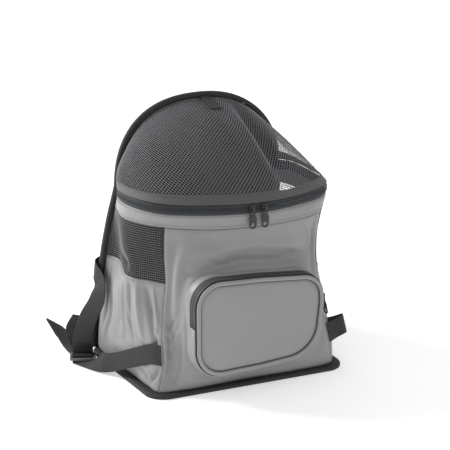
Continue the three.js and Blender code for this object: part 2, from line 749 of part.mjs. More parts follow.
function makeSlider(name, place, turn) {
  const holder = new THREE.Group();
  holder.position.copy(place);
  holder.rotation.z = turn;
  bag.add(holder);
  addPiece(`${name[0]}_slider${name[1]}`, sliderBody(), enamel, holder);
  const pull = addPiece(`${name[0]}_pull${name[1]}`, pullPlate(), enamel, holder);
  pull.position.set(0, -pullReach, -pullHang);
}

function makeSliders() {
  const z = rimHeight + tapeHeight + seamGap + coilHeight / 2;
  const coilProud = coilThickness - clothWall - 0.2;
  for (const [side, x] of Object.entries(rimSliderPlaces)) {
    const coil = frontFace(x, z) - coilProud;
    const below = frontFace(x, z - sliderLength / 2);
    const place = new THREE.Vector3(x, Math.min(coil, below) - seamGap - 0.4, z);
    makeSlider(['rim', `_${side}`], place, 0);
  }
  const y = gussetFront + pocketZipWidth / 2;
  const x = pocketWidth / 2 + 1 + seamGap;
  makeSlider(['pocket', ''], new THREE.Vector3(x, y, pocketZipEnd + sliderLength / 2 + 1), Math.PI / 2);
}

// A flat ribbon through edges: each has the place of one edge and the way across to the other
function ribbon(edges, thickness = webbingThickness) {
  const sections = edges.map(({ place, across }, i) => {
    const before = edges[Math.max(i - 1, 0)].place;
    const after = edges[Math.min(i + 1, edges.length - 1)].place;
    const face = after.clone().sub(before).cross(across).normalize().multiplyScalar(thickness / 2);
    const far = place.clone().add(across);
    return [place.clone().add(face), far.clone().add(face), far.clone().sub(face), place.clone().sub(face)];
  });
  return bodyThrough(sections);
}

// A smooth run through a few chosen edges
function smoothEdges(edges, steps) {
  const places = new THREE.CatmullRomCurve3(edges.map((edge) => edge.place), false, 'centripetal');
  const ways = new THREE.CatmullRomCurve3(edges.map((edge) => edge.across), false, 'centripetal');
  return spread(0, 1, steps).map((t) => ({
    place: places.getPoint(t),
    across: ways.getPoint(t).setLength(webbingWidth),
  }));
}

// Rows of a strap's route: out as a share of half the base's width, back of half its depth and low of the bag's
// height place one edge. The other edge lies across, leaned from upright and headed round from straight out.
const routeColumns = ['out', 'back', 'low', 'lean', 'heading'];
const lowerRoutes = {
  left: table(routeColumns, [
    [1.000, -0.30, 0.060, 3, 180],
    [1.080, 0.00, 0.018, 6, 180],
    [1.145, 0.17, 0.004, 14, 180],
    [1.190, 0.31, 0.002, 36, 184],
    [1.235, 0.47, 0.002, 66, 194],
  ]),
  right: table(routeColumns, [
    [0.955, -0.87, 0.106, 6, 180],
    [1.055, -0.86, 0.118, 14, 180],
    [1.095, -0.76, 0.110, 13, 180],
    [1.105, -0.50, 0.072, 9, 180],
    [1.115, -0.12, 0.022, 8, 180],
    [1.145, 0.15, 0.004, 14, 180],
    [1.190, 0.31, 0.002, 36, 184],
    [1.235, 0.47, 0.002, 66, 194],
  ]),
};
const shoulderRoute = table(routeColumns, [
  [0.40, 0.00, 0.750, 90, 180],
  [0.52, 0.00, 0.620, 90, 180],
  [0.68, 0.00, 0.500, 82, 180],
  [0.76, 0.00, 0.420, 60, 180],
  [0.92, 0.83, 0.318, 10, 258],
  [0.975, 0.82, 0.306, 10, 264],
  [0.988, 0.76, 0.293, 13, 262],
  [0.998, 0.735, 0.278, 40, 250],
  [1.03, 0.72, 0.262, 70, 250],
  [1.07, 0.71, 0.235, 88, 244],
  [1.14, 0.73, 0.190, 92, 234],
  [1.20, 0.75, 0.130, 92, 226],
  [1.22, 0.78, 0.075, 91, 219],
]);
const loopRoute = table(routeColumns, [
  [1.235, 0.89, 0.065, 90, 208],
  [1.240, 0.92, 0.115, 92, 213],
  [1.165, 0.93, 0.160, 94, 222],
]);
const tailRoute = table(routeColumns, [
  [1.205, 0.99, 0.006, 92, 203],
  [1.210, 1.14, 0.016, 98, 200],
  [1.225, 1.33, 0.048, 110, 195],
  [1.250, 1.52, 0.090, 124, 190],
]);
const strapSeams = {
  left: { low: 44, stations: [3.96, 3.58] },
  right: { low: 41, stations: [3.97] },
};
const buckleOut = 1.15;
const buckleBack = 0.678;
const buckleHeading = 205;

function makeStraps(side, sign) {
  const toPlace = (out, back, z) => new THREE.Vector3(sign * out, back, z);
  const way = (lean, heading) => {
    const tilt = THREE.MathUtils.degToRad(lean);
    const turn = THREE.MathUtils.degToRad(heading);
    return toPlace(Math.sin(tilt) * Math.cos(turn), Math.sin(tilt) * Math.sin(turn), Math.cos(tilt))
      .multiplyScalar(webbingWidth);
  };
  const edgeOf = (row) => ({
    place: toPlace(row.out * halfWidth, row.back * halfDepth, row.low * bagHeight + webbingThickness / 2),
    across: way(row.lean, row.heading),
  });

  const bar = way(90, buckleHeading).normalize();
  const travel = new THREE.Vector3(0, 0, 1).cross(bar).multiplyScalar(-sign);
  const lift = 2 * webbingThickness + 3 * seamGap;
  const centre = toPlace(buckleOut * halfWidth, buckleBack * halfDepth, 0);
  const pitch = buckleBar + buckleSlot;
  const inBuckle = ([along, z]) => ({
    place: centre.clone().addScaledVector(travel, along).addScaledVector(bar, -webbingWidth / 2).setZ(z),
    across: bar.clone().multiplyScalar(webbingWidth),
  });

  // The strap goes under the front bar, over the middle one and down in the rear slot, under the loop
  const half = webbingThickness / 2;
  const low = half + 0.05;
  const high = lift + buckleThickness + half + seamGap;
  const clear = buckleBar / 2 + seamGap + half;
  const weave = [
    [-pitch - 2, low + 0.5], [-pitch + 1, low + 0.9], [-clear - 2.4, low + 2.2], [-clear, lift + 0.5],
    [-clear, high - 0.9], [-1.6, high + 0.4], [1.6, high + 0.4], [clear, high - 0.9],
    [clear, lift + 0.5], [clear + 1.2, low + 1.4], [clear + 3.6, low], [pitch + 4, low],
  ];
  const { low: seamLow, stations: sewnStations } = strapSeams[side];
  const sewn = sewnStations.map((around) => {
    const station = sign < 0 ? around : stations - around;
    const out = wallOut(station, seamLow + webbingWidth / 2).multiplyScalar(seamGap + half + 0.1);
    const place = wallAt(station, seamLow).add(out);
    const top = wallAt(station, seamLow + webbingWidth).add(out);
    return { place, across: top.sub(place) };
  });
  const arrive = smoothEdges([...sewn, ...lowerRoutes[side].map(edgeOf), inBuckle(weave[0])], 26).slice(0, -1);
  const leave = smoothEdges([inBuckle(weave[weave.length - 1]), ...tailRoute.map(edgeOf)], 8).slice(1);
  addPiece(`lower_strap_${side}`, ribbon([...arrive, ...weave.map(inBuckle), ...leave]), black);

  // The shoulder strap lies on the back, comes round the edge and loops under the rear bar
  const onBack = shoulderRoute.slice(0, 4).map((row) => {
    const edge = edgeOf(row);
    edge.place.y = backY(edge.place.z) + backWall + 1.4 + seamGap + half + 1.4;
    return edge;
  });
  const rear = pitch;
  const turn = buckleBar / 2 + seamGap + half;
  const loop = [
    [rear - turn, lift + buckleThickness], [rear - turn, lift], [rear - turn + 1, lift - half - seamGap],
    [rear + turn - 1, lift - half - seamGap], [rear + turn, lift], [rear + turn, lift + buckleThickness],
  ];
  const down = smoothEdges([
    ...onBack, ...shoulderRoute.slice(4).map(edgeOf), inBuckle([rear - turn, lift + buckleThickness + 9]),
  ], 36);
  const back = smoothEdges([
    inBuckle([rear + turn, lift + buckleThickness + 6]), ...loopRoute.map(edgeOf),
  ], 6);
  addPiece(`shoulder_strap_${side}`, ribbon([...down, ...loop.map(inBuckle), ...back]), black);

  addPiece(`buckle_${side}`, buckleFrame(centre, bar, travel, lift), plastic);
}

// The adjuster: two rails and three bars round two slots
function buckleFrame(centre, bar, travel, lift) {
  const long = 1.5 * buckleBar + buckleSlot;
  const wide = webbingWidth / 2 + slotClearance + buckleRail;
  const shape = new THREE.Shape([
    new THREE.Vector2(-wide + 2, -long), new THREE.Vector2(wide - 2, -long), new THREE.Vector2(wide, -long + 2),
    new THREE.Vector2(wide, long - 2), new THREE.Vector2(wide - 2, long), new THREE.Vector2(-wide + 2, long),
    new THREE.Vector2(-wide, long - 2), new THREE.Vector2(-wide, -long + 2),
  ]);
  const open = wide - buckleRail;
  for (const end of [-1, 1]) {
    const [a, b] = [end * buckleBar / 2, end * (buckleBar / 2 + buckleSlot)];
    shape.holes.push(new THREE.Path([
      new THREE.Vector2(-open, a), new THREE.Vector2(open, a),
      new THREE.Vector2(open, b), new THREE.Vector2(-open, b),
    ]));
  }
  const frame = new THREE.ExtrudeGeometry(shape, { depth: buckleThickness, bevelEnabled: false });
  frame.translate(0, 0, lift);
  const position = frame.attributes.position;
  for (let i = 0; i < position.count; i += 1) {
    const place = centre.clone().addScaledVector(bar, position.getX(i)).addScaledVector(travel, position.getY(i));
    position.setXYZ(i, place.x, place.y, position.getZ(i));
  }
  const mirrored = new THREE.Vector3().crossVectors(bar, travel).z < 0;
  if (mirrored) {
    for (let i = 0; i < position.count; i += 3) {
      const [b, c] = [i + 1, i + 2].map((k) => new THREE.Vector3().fromBufferAttribute(position, k));
      position.setXYZ(i + 1, c.x, c.y, c.z);
      position.setXYZ(i + 2, b.x, b.y, b.z);
    }
  }
  return frame;
}

makeBase();
makeBack();
makeWalls();
makeRimZip();
makeLid();
makeTab();
makePocket();
makeSliders();
makeStraps('left', -1);
makeStraps('right', 1);

export default bag;
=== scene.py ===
import math

import bpy
import numpy as np
from mathutils import Matrix, Vector


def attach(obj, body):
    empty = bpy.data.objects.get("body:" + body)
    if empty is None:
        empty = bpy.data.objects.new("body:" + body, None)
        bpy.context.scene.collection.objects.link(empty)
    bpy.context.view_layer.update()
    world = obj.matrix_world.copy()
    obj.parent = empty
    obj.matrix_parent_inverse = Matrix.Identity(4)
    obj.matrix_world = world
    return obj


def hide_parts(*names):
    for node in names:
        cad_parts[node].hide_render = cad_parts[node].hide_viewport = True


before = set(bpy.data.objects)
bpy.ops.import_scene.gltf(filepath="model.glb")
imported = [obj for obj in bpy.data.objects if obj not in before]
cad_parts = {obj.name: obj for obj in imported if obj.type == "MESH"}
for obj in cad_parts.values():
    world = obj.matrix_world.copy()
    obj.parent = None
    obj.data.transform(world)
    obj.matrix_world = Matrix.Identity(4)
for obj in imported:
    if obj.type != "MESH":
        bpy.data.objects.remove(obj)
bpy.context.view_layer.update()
print("bag frame loaded")

# The bag's own sizes, in millimetres, as the solids have them
bag = {
    "halfWidth": 160.0, "halfDepth": 121.0, "height": 403.0, "rim": 270.0,
    "stand": 6.3, "windowLow": 165.0, "windowHigh": 248.0, "zipTop": 285.2,
    "spring": 278.0, "archRise": 125.0, "archHalf": 138.0, "archPower": 2.3,
    "binding": 7.0, "gap": 0.3, "cloth": 1.6, "net": 1.2, "backWall": 6.0, "backGap": 0.8,
    "corner": 30.0, "skew": 8.0,
}

sideColumns = ["foldX", "foldY", "sideX", "sideY", "cornerX", "cornerY", "seamX", "seamY"]
sectionHeights = [0.02, 0.15, 0.31, 0.47, 0.61, 0.77, 0.92, 1.00, 1.06]
leftSections = [
    [0.940, 0.58, 0.930, -0.04, 0.925, -0.60, 0.900, -0.84],
    [0.980, 0.59, 0.980, 0.00, 0.930, -0.51, 0.838, -0.79],
    [0.940, 0.54, 0.970, -0.04, 0.920, -0.47, 0.830, -0.75],
    [0.906, 0.48, 0.970, -0.08, 0.894, -0.45, 0.794, -0.69],
    [0.856, 0.42, 0.980, -0.15, 0.875, -0.42, 0.756, -0.65],
    [0.870, 0.38, 0.970, -0.10, 0.870, -0.37, 0.750, -0.60],
    [0.910, 0.31, 0.950, -0.03, 0.880, -0.31, 0.730, -0.57],
    [0.910, 0.27, 0.937, -0.04, 0.863, -0.39, 0.720, -0.65],
    [0.920, 0.25, 0.930, -0.06, 0.850, -0.40, 0.705, -0.635],
]
rightSections = [
    [0.940, 0.58, 0.940, -0.04, 0.940, -0.66, 0.890, -0.90],
    [0.980, 0.59, 0.985, -0.04, 0.950, -0.70, 0.856, -0.92],
    [0.940, 0.54, 0.970, -0.04, 0.906, -0.68, 0.800, -0.89],
    [0.906, 0.48, 0.960, -0.08, 0.856, -0.65, 0.763, -0.87],
    [0.862, 0.42, 0.960, -0.12, 0.820, -0.63, 0.738, -0.84],
    [0.870, 0.38, 0.956, -0.08, 0.820, -0.64, 0.744, -0.83],
    [0.900, 0.33, 0.944, -0.04, 0.863, -0.66, 0.756, -0.87],
    [0.906, 0.29, 0.944, -0.07, 0.906, -0.65, 0.780, -0.85],
    [0.906, 0.28, 0.940, -0.08, 0.913, -0.64, 0.778, -0.83],
]
frontSections = [  # left x and y, middle y, right x and y
    [0.620, -0.92, -0.92, 0.450, -0.95],
    [0.630, -0.98, -0.99, 0.425, -1.00],
    [0.630, -1.03, -1.06, 0.410, -1.03],
    [0.620, -1.03, -1.07, 0.400, -1.01],
    [0.580, -1.00, -1.05, 0.390, -1.00],
    [0.480, -0.91, -0.98, 0.390, -0.98],
    [0.375, -0.89, -1.02, 0.390, -1.03],
    [0.375, -0.90, -1.05, 0.390, -1.03],
    [0.365, -0.88, -1.03, 0.390, -1.01],
]
backProfile = [
    [0.00, 0.935], [0.12, 0.870], [0.27, 0.770], [0.40, 0.675],
    [0.56, 0.560], [0.69, 0.470], [0.82, 0.480], [1.00, 0.580],
]
dents = [  # place round the bag, height share, spread round, spread up, depth share
    [7.25, 0.715, 0.55, 0.050, 0.065],
    [5.40, 0.720, 0.60, 0.060, 0.030],
    [4.42, 0.270, 0.24, 0.140, 0.050],
    [1.80, 0.670, 0.34, 0.050, 0.065],
    [2.60, 0.450, 0.50, 0.120, -0.030],
    [1.20, 0.330, 0.40, 0.120, 0.045],
    [8.30, 0.800, 0.22, 0.100, 0.035],
]


def readColumn(places, values, at):
    # A smooth curve through a table's column
    p, v, at = np.asarray(places, float), np.asarray(values, float), np.asarray(at, float)
    last = len(p) - 1
    i = np.clip(np.searchsorted(p, at, side="left") - 1, 0, last - 1)
    k = np.arange(last + 1)
    lowK, highK = np.maximum(k - 1, 0), np.minimum(k + 1, last)
    slope = (v[highK] - v[lowK]) / (p[highK] - p[lowK])
    span = p[i + 1] - p[i]
    t = np.clip((at - p[i]) / span, 0, 1)
    rise = 3 * t * t - 2 * t * t * t
    bend = slope[i] * t * (1 - t) ** 2 - slope[i + 1] * t * t * (1 - t)
    return v[i] * (1 - rise) + v[i + 1] * rise + span * bend


def catmull(points, t):
    # Centripetal Catmull-Rom. points: (..., n, d), t: (...) from 0 to 1
    n = points.shape[-2]
    place = np.clip(np.asarray(t, float) * (n - 1), 0, n - 1)
    i = np.minimum(np.floor(place).astype(int), n - 2)
    w = (place - i)[..., None]
    first = 2 * points[..., :1, :] - points[..., 1:2, :]
    final = 2 * points[..., -1:, :] - points[..., -2:-1, :]
    full = np.concatenate([first, points, final], axis=-2)
    full = np.broadcast_to(full, place.shape + full.shape[-2:])

    def pick(step):
        return np.take_along_axis(full, (i + step)[..., None, None], axis=-2)[..., 0, :]

    p0, p1, p2, p3 = pick(0), pick(1), pick(2), pick(3)
    d1 = np.maximum(((p2 - p1) ** 2).sum(-1, keepdims=True) ** 0.25, 1e-4)
    d0 = ((p1 - p0) ** 2).sum(-1, keepdims=True) ** 0.25
    d2 = ((p3 - p2) ** 2).sum(-1, keepdims=True) ** 0.25
    d0 = np.where(d0 < 1e-4, d1, d0)
    d2 = np.where(d2 < 1e-4, d1, d2)
    m1 = ((p1 - p0) / d0 - (p2 - p0) / (d0 + d1) + (p2 - p1) / d1) * d1
    m2 = ((p2 - p1) / d1 - (p3 - p1) / (d1 + d2) + (p3 - p2) / d2) * d1
    c2 = -3 * p1 + 3 * p2 - 2 * m1 - m2
    c3 = 2 * p1 - 2 * p2 + m1 + m2
    return p1 + m1 * w + c2 * w * w + c3 * w ** 3


def unit(v):
    return v / np.maximum(np.linalg.norm(v, axis=-1, keepdims=True), 1e-9)


def backY(z):
    rows = np.array(backProfile)
    return readColumn(rows[:, 0], rows[:, 1], np.asarray(z) / bag["height"]) * bag["halfDepth"]


def backHalf(z):
    z = np.asarray(z, float)
    straight = bag["halfWidth"] - 5
    straight = straight + (bag["archHalf"] - straight) * (z / bag["spring"]) ** 3 - bag["binding"]
    share = np.clip((z - bag["spring"]) / (bag["archRise"] - bag["binding"]), 0, 1)
    power = bag["archPower"]
    arch = (bag["archHalf"] - bag["binding"]) * (1 - share ** power) ** (1 / power)
    return np.where(z <= bag["spring"], straight, arch)


def smoothWall(u, z):
    u, z = np.broadcast_arrays(np.asarray(u, float), np.asarray(z, float))
    h = z / bag["rim"]
    left, right, front = np.array(leftSections), np.array(rightSections), np.array(frontSections)

    def column(rows, i):
        return readColumn(sectionHeights, rows[:, i], h)

    wide, deep = bag["halfWidth"], bag["halfDepth"]
    xs = [-(backHalf(z) - 1)] + [-wide * column(left, i) for i in (0, 2, 4, 6)]
    ys = [backY(z) - bag["backGap"]] + [deep * column(left, i) for i in (1, 3, 5, 7)]
    xs += [-wide * column(front, 0), np.zeros_like(z), wide * column(front, 3)]
    ys += [deep * column(front, 1), deep * column(front, 2), deep * column(front, 4)]
    xs += [wide * column(right, i) for i in (6, 4, 2, 0)] + [backHalf(z) - 1]
    ys += [deep * column(right, i) for i in (7, 5, 3, 1)] + [backY(z) - bag["backGap"]]
    flat = catmull(np.stack([np.stack(xs, -1), np.stack(ys, -1)], -1), u / 12)
    return np.concatenate([flat, z[..., None]], -1)


def outward(surface, u, z, step=0.02, rise=0.5):
    inside = np.clip(u, step, 12 - step)
    across = surface(inside + step, z) - surface(inside - step, z)
    up = surface(inside, z + rise) - surface(inside, z - rise)
    return unit(np.cross(across, up))


def wallAt(u, z):
    u, z = np.broadcast_arrays(np.asarray(u, float), np.asarray(z, float))
    out = outward(smoothWall, u, z)
    out[..., 2] = 0
    depth = np.zeros_like(z)
    for around, height, wide, high, deep in dents:
        far = ((u - around) / wide) ** 2 + ((z / bag["rim"] - height) / high) ** 2
        depth = depth + deep * bag["halfDepth"] * np.exp(-far)
    depth = depth * np.clip(np.minimum(u, 12 - u), 0, 1)
    return smoothWall(u, z) - unit(out) * depth[..., None]


# Folds of the cloth: from and to (place round the bag, height), width and depth in mm, outward if negative
folds = [
    [4.52, 20, 4.60, 150, 11.0, 4.5], [4.52, 150, 4.70, 200, 12.0, 4.0], [4.10, 20, 4.34, 92, 5.0, 3.0],
    [4.20, 150, 4.26, 30, 9.0, 5.0], [4.05, 94, 4.52, 66, 2.6, 1.9], [4.03, 70, 4.44, 30, 2.4, -1.7], [4.06, 116, 4.40, 84, 2.2, 1.7],
    [4.10, 44, 4.60, 20, 2.4, 1.5], [7.56, 238, 7.80, 200, 2.6, 1.8], [7.30, 246, 7.62, 216, 3.0, -1.6],
    [5.00, 206, 5.70, 188, 3.2, 1.8], [3.20, 130, 3.80, 96, 2.6, 1.8], [2.10, 120, 2.60, 60, 2.6, 2.0], [4.05, 60, 4.70, 108, 4.0, -2.2], [4.02, 96, 4.45, 120, 5.0, 3.0],
    [4.10, 120, 4.34, 236, 8.0, 3.4], [4.03, 236, 4.05, 120, 4.0, -1.6], [4.30, 150, 4.62, 238, 10.0, -2.2],
    [4.70, 186, 5.90, 196, 6.0, 4.6], [5.60, 198, 7.30, 184, 6.0, 5.6], [4.90, 214, 6.00, 220, 10.0, -3.0],
    [5.90, 222, 7.40, 204, 10.0, -4.0], [5.00, 240, 5.60, 206, 8.0, 1.6], [6.70, 242, 7.00, 212, 7.0, 1.8],
    [7.00, 208, 7.95, 180, 6.0, -2.2], [7.72, 246, 7.78, 150, 5.0, 3.6], [7.86, 240, 7.88, 160, 4.0, -2.4],
    [7.60, 232, 7.70, 190, 5.0, -2.2], [5.50, 30, 7.30, 16, 5.0, 1.8], [4.60, 24, 6.00, 12, 6.0, -1.6],
    [7.40, 20, 7.90, 70, 6.0, 2.2], [7.80, 84, 7.98, 150, 5.0, -2.0], [4.50, 10, 4.60, 50, 8.0, 2.0],
    [3.40, 14, 3.92, 40, 5.0, 3.8], [3.00, 162, 3.74, 66, 7.0, 4.6], [3.40, 156, 3.92, 96, 4.5, -3.2],
    [2.60, 160, 2.96, 78, 7.0, -4.0], [2.20, 162, 2.42, 80, 6.0, 5.6], [1.84, 160, 2.06, 66, 4.5, -4.4],
    [1.50, 160, 1.80, 56, 6.0, 5.0], [1.10, 140, 1.66, 30, 7.0, -3.8], [0.60, 150, 0.90, 60, 7.0, 3.2],
    [2.30, 78, 3.30, 58, 7.0, 3.0], [3.50, 60, 3.94, 100, 6.0, 3.4], [2.90, 30, 3.30, 8, 5.0, 3.0],
    [3.60, 118, 3.95, 72, 5.0, -2.0], [2.80, 40, 3.60, 18, 5.0, -2.2], [2.00, 60, 3.10, 40, 8.0, 2.0],
    [8.10, 140, 8.60, 60, 7.0, 2.6], [9.00, 150, 9.60, 60, 9.0, -2.6], [10.2, 150, 10.0, 50, 9.0, 2.8],
    [8.80, 60, 9.90, 30, 8.0, 2.0], [10.9, 140, 11.3, 50, 8.0, -2.2],
    [1.20, 182, 1.90, 176, 4.0, 2.4], [2.30, 240, 2.70, 176, 8.0, 1.6], [3.20, 240, 3.50, 180, 7.0, 1.4],
    [0.80, 236, 1.20, 180, 7.0, -1.4], [9.40, 240, 9.10, 172, 8.0, 1.6], [10.6, 236, 10.3, 175, 8.0, -1.5],
    [4.25, 268, 4.30, 250, 2.6, 1.2], [4.60, 268, 4.58, 250, 2.6, -1.0], [5.10, 268, 5.12, 250, 3.0, 1.0],
    [6.90, 268, 6.95, 250, 2.6, 1.0], [7.40, 268, 7.36, 250, 2.6, 1.2], [7.70, 268, 7.66, 250, 2.4, -1.0],
    [3.40, 268, 3.44, 250, 2.6, 1.0], [2.60, 268, 2.56, 250, 2.6, -1.0], [8.60, 268, 8.64, 250, 2.6, 1.0],
]


def softWaves(a, b, size, seed):
    # Low, seeded waves that stand for cloth that isn't pulled tight
    wave = np.random.RandomState(seed)
    total = np.zeros(np.broadcast(a, b).shape)
    for _ in range(9):
        angle, phase, scale = wave.rand() * math.pi, wave.rand() * 6.28, wave.uniform(0.6, 1.7)
        total = total + np.sin((a * math.cos(angle) + b * math.sin(angle)) * 6.28 / (size * scale) + phase)
    return total / 9


def foldDepth(u, z):
    depth = np.zeros(np.broadcast(u, z).shape)
    for u0, z0, u1, z1, wide, deep in folds:
        ax, az = (u1 - u0) * 62, z1 - z0
        long = max(ax * ax + az * az, 1e-6)
        bx, bz = (u - u0) * 62, z - z0
        t = np.clip((bx * ax + bz * az) / long, 0, 1)
        far = np.hypot(bx - t * ax, bz - t * az)
        taper = np.sin(np.pi * np.clip(0.12 + 0.76 * t, 0, 1))
        depth = depth + deep * taper * np.exp(-(far / wide) ** 2)
    return depth


# Shading
def makeGroup(name, inputs, outputs):
    group = bpy.data.node_groups.new(name, "ShaderNodeTree")
    for label, kind, value in inputs:
        socket = group.interface.new_socket(label, in_out="INPUT", socket_type=kind)
        if value is not None:
            socket.default_value = value
    for label, kind in outputs:
        group.interface.new_socket(label, in_out="OUTPUT", socket_type=kind)
    start = group.nodes.new("NodeGroupInput")
    end = group.nodes.new("NodeGroupOutput")
    return group, start, end


def calc(tree, operation, a, b=None, clamp=False):
    node = tree.nodes.new("ShaderNodeMath")
    node.operation = operation
    node.use_clamp = clamp
    for socket, value in zip(node.inputs, (a, b)):
        if value is None:
            continue
        if isinstance(value, (int, float)):
            socket.default_value = value
        else:
            tree.links.new(value, socket)
    return node.outputs[0]


def waveLine(tree, coordinate, pitch, shift=None):
    turned = calc(tree, "DIVIDE", coordinate, pitch)
    if shift is not None:
        turned = calc(tree, "ADD", turned, shift)
    return calc(tree, "SINE", calc(tree, "MULTIPLY", turned, 2 * math.pi))


def weaveGroup():
    # Over and under threads of a plain cloth, by the piece's own UV in metres
    group, start, end = makeGroup(
        "threadWeave",
        [("Vector", "NodeSocketVector", None), ("Across", "NodeSocketFloat", 0.0006),
         ("Along", "NodeSocketFloat", 0.0006)],
        [("Height", "NodeSocketFloat")],
    )
    split = group.nodes.new("ShaderNodeSeparateXYZ")
    group.links.new(start.outputs["Vector"], split.inputs[0])
    across = waveLine(group, split.outputs[0], start.outputs["Across"])
    along = waveLine(group, split.outputs[1], start.outputs["Along"])
    height = calc(group, "ADD", calc(group, "MULTIPLY", calc(group, "MULTIPLY", across, along), 0.5), 0.5)
    group.links.new(height, end.inputs["Height"])
    return group


def ribGroup():
    # Cross ribs of webbing and grosgrain with fine threads in them
    group, start, end = makeGroup(
        "webbingRibs",
        [("Vector", "NodeSocketVector", None), ("Rib", "NodeSocketFloat", 0.0018),
         ("Thread", "NodeSocketFloat", 0.0011)],
        [("Height", "NodeSocketFloat")],
    )
    split = group.nodes.new("ShaderNodeSeparateXYZ")
    group.links.new(start.outputs["Vector"], split.inputs[0])
    thread = waveLine(group, split.outputs[0], start.outputs["Thread"])
    shift = calc(group, "MULTIPLY", thread, 0.14)
    rib = waveLine(group, split.outputs[1], start.outputs["Rib"], shift)
    body = calc(group, "ADD", calc(group, "MULTIPLY", rib, 0.35), calc(group, "MULTIPLY", thread, 0.15))
    height = calc(group, "ADD", body, 0.5)
    group.links.new(height, end.inputs["Height"])
    return group


def toneGroup():
    # Slow change of colour and gloss over a piece, with a little dust
    group, start, end = makeGroup(
        "usedTone",
        [("Color", "NodeSocketColor", (0.5, 0.5, 0.5, 1)), ("Change", "NodeSocketFloat", 0.08),
         ("Size", "NodeSocketFloat", 9.0), ("Roughness", "NodeSocketFloat", 0.5)],
        [("Color", "NodeSocketColor"), ("Roughness", "NodeSocketFloat"), ("Cloud", "NodeSocketFloat")],
    )
    place = group.nodes.new("ShaderNodeTexCoord")
    noise = group.nodes.new("ShaderNodeTexNoise")
    noise.inputs["Detail"].default_value = 4
    group.links.new(place.outputs["Object"], noise.inputs["Vector"])
    group.links.new(start.outputs["Size"], noise.inputs["Scale"])
    swing = calc(group, "SUBTRACT", noise.outputs[0], 0.5)
    factor = calc(group, "ADD", calc(group, "MULTIPLY", swing, start.outputs["Change"]), 1.0)
    tint = group.nodes.new("ShaderNodeVectorMath")
    tint.operation = "SCALE"
    group.links.new(start.outputs["Color"], tint.inputs[0])
    group.links.new(factor, tint.inputs["Scale"])
    group.links.new(tint.outputs[0], end.inputs["Color"])
    rough = calc(group, "ADD", calc(group, "MULTIPLY", swing, 0.22), start.outputs["Roughness"], clamp=True)
    group.links.new(rough, end.inputs["Roughness"])
    group.links.new(noise.outputs[0], end.inputs["Cloud"])
    return group


weave, ribs, tone = weaveGroup(), ribGroup(), toneGroup()


def makeMaterial(name, look):
    # One finish: a tone over the piece, a woven or grained height, and the shader's own constants
    material = bpy.data.materials.new(name)
    material.use_nodes = True
    tree = material.node_tree
    shader = tree.nodes["Principled BSDF"]
    toned = tree.nodes.new("ShaderNodeGroup")
    toned.node_tree = tone
    toned.inputs["Color"].default_value = (*look["color"], 1)
    toned.inputs["Change"].default_value = look.get("change", 0.1)
    toned.inputs["Size"].default_value = look.get("size", 9.0)
    toned.inputs["Roughness"].default_value = look["roughness"]
    tree.links.new(toned.outputs["Roughness"], shader.inputs["Roughness"])
    colour = toned.outputs["Color"]
    height = None
    if "weave" in look or "ribs" in look:
        uv = tree.nodes.new("ShaderNodeUVMap")
        uv.uv_map = "cloth"
        pattern = tree.nodes.new("ShaderNodeGroup")
        pattern.node_tree = weave if "weave" in look else ribs
        tree.links.new(uv.outputs[0], pattern.inputs["Vector"])
        first, second = look.get("weave") or look.get("ribs")
        pattern.inputs[1].default_value = first
        pattern.inputs[2].default_value = second
        height = pattern.outputs["Height"]
        shade = tree.nodes.new("ShaderNodeVectorMath")
        shade.operation = "SCALE"
        tree.links.new(colour, shade.inputs[0])
        depth = look.get("threadShade", 0.2)
        factor = calc(tree, "ADD", calc(tree, "MULTIPLY", height, depth), 1 - depth / 2)
        tree.links.new(factor, shade.inputs["Scale"])
        colour = shade.outputs[0]
    tree.links.new(colour, shader.inputs["Base Color"])
    if "grain" in look:
        place = tree.nodes.new("ShaderNodeTexCoord")
        grain = tree.nodes.new("ShaderNodeTexNoise")
        grain.inputs["Scale"].default_value = look["grain"]
        grain.inputs["Detail"].default_value = 3
        tree.links.new(place.outputs["Object"], grain.inputs["Vector"])
        share = calc(tree, "MULTIPLY", grain.outputs[0], look.get("grainShare", 1.0))
        height = share if height is None else calc(tree, "ADD", height, share)
    if height is not None:
        bump = tree.nodes.new("ShaderNodeBump")
        bump.inputs["Strength"].default_value = look.get("strength", 0.4)
        bump.inputs["Distance"].default_value = look.get("depth", 0.0002)
        tree.links.new(height, bump.inputs["Height"])
        tree.links.new(bump.outputs[0], shader.inputs["Normal"])
    shader.inputs["Metallic"].default_value = look.get("metallic", 0)
    shader.inputs["Specular IOR Level"].default_value = look.get("specular", 0.5)
    shader.inputs["Sheen Weight"].default_value = look.get("sheen", 0)
    shader.inputs["Sheen Roughness"].default_value = 0.5
    shader.inputs["Coat Weight"].default_value = look.get("coat", 0)
    return material


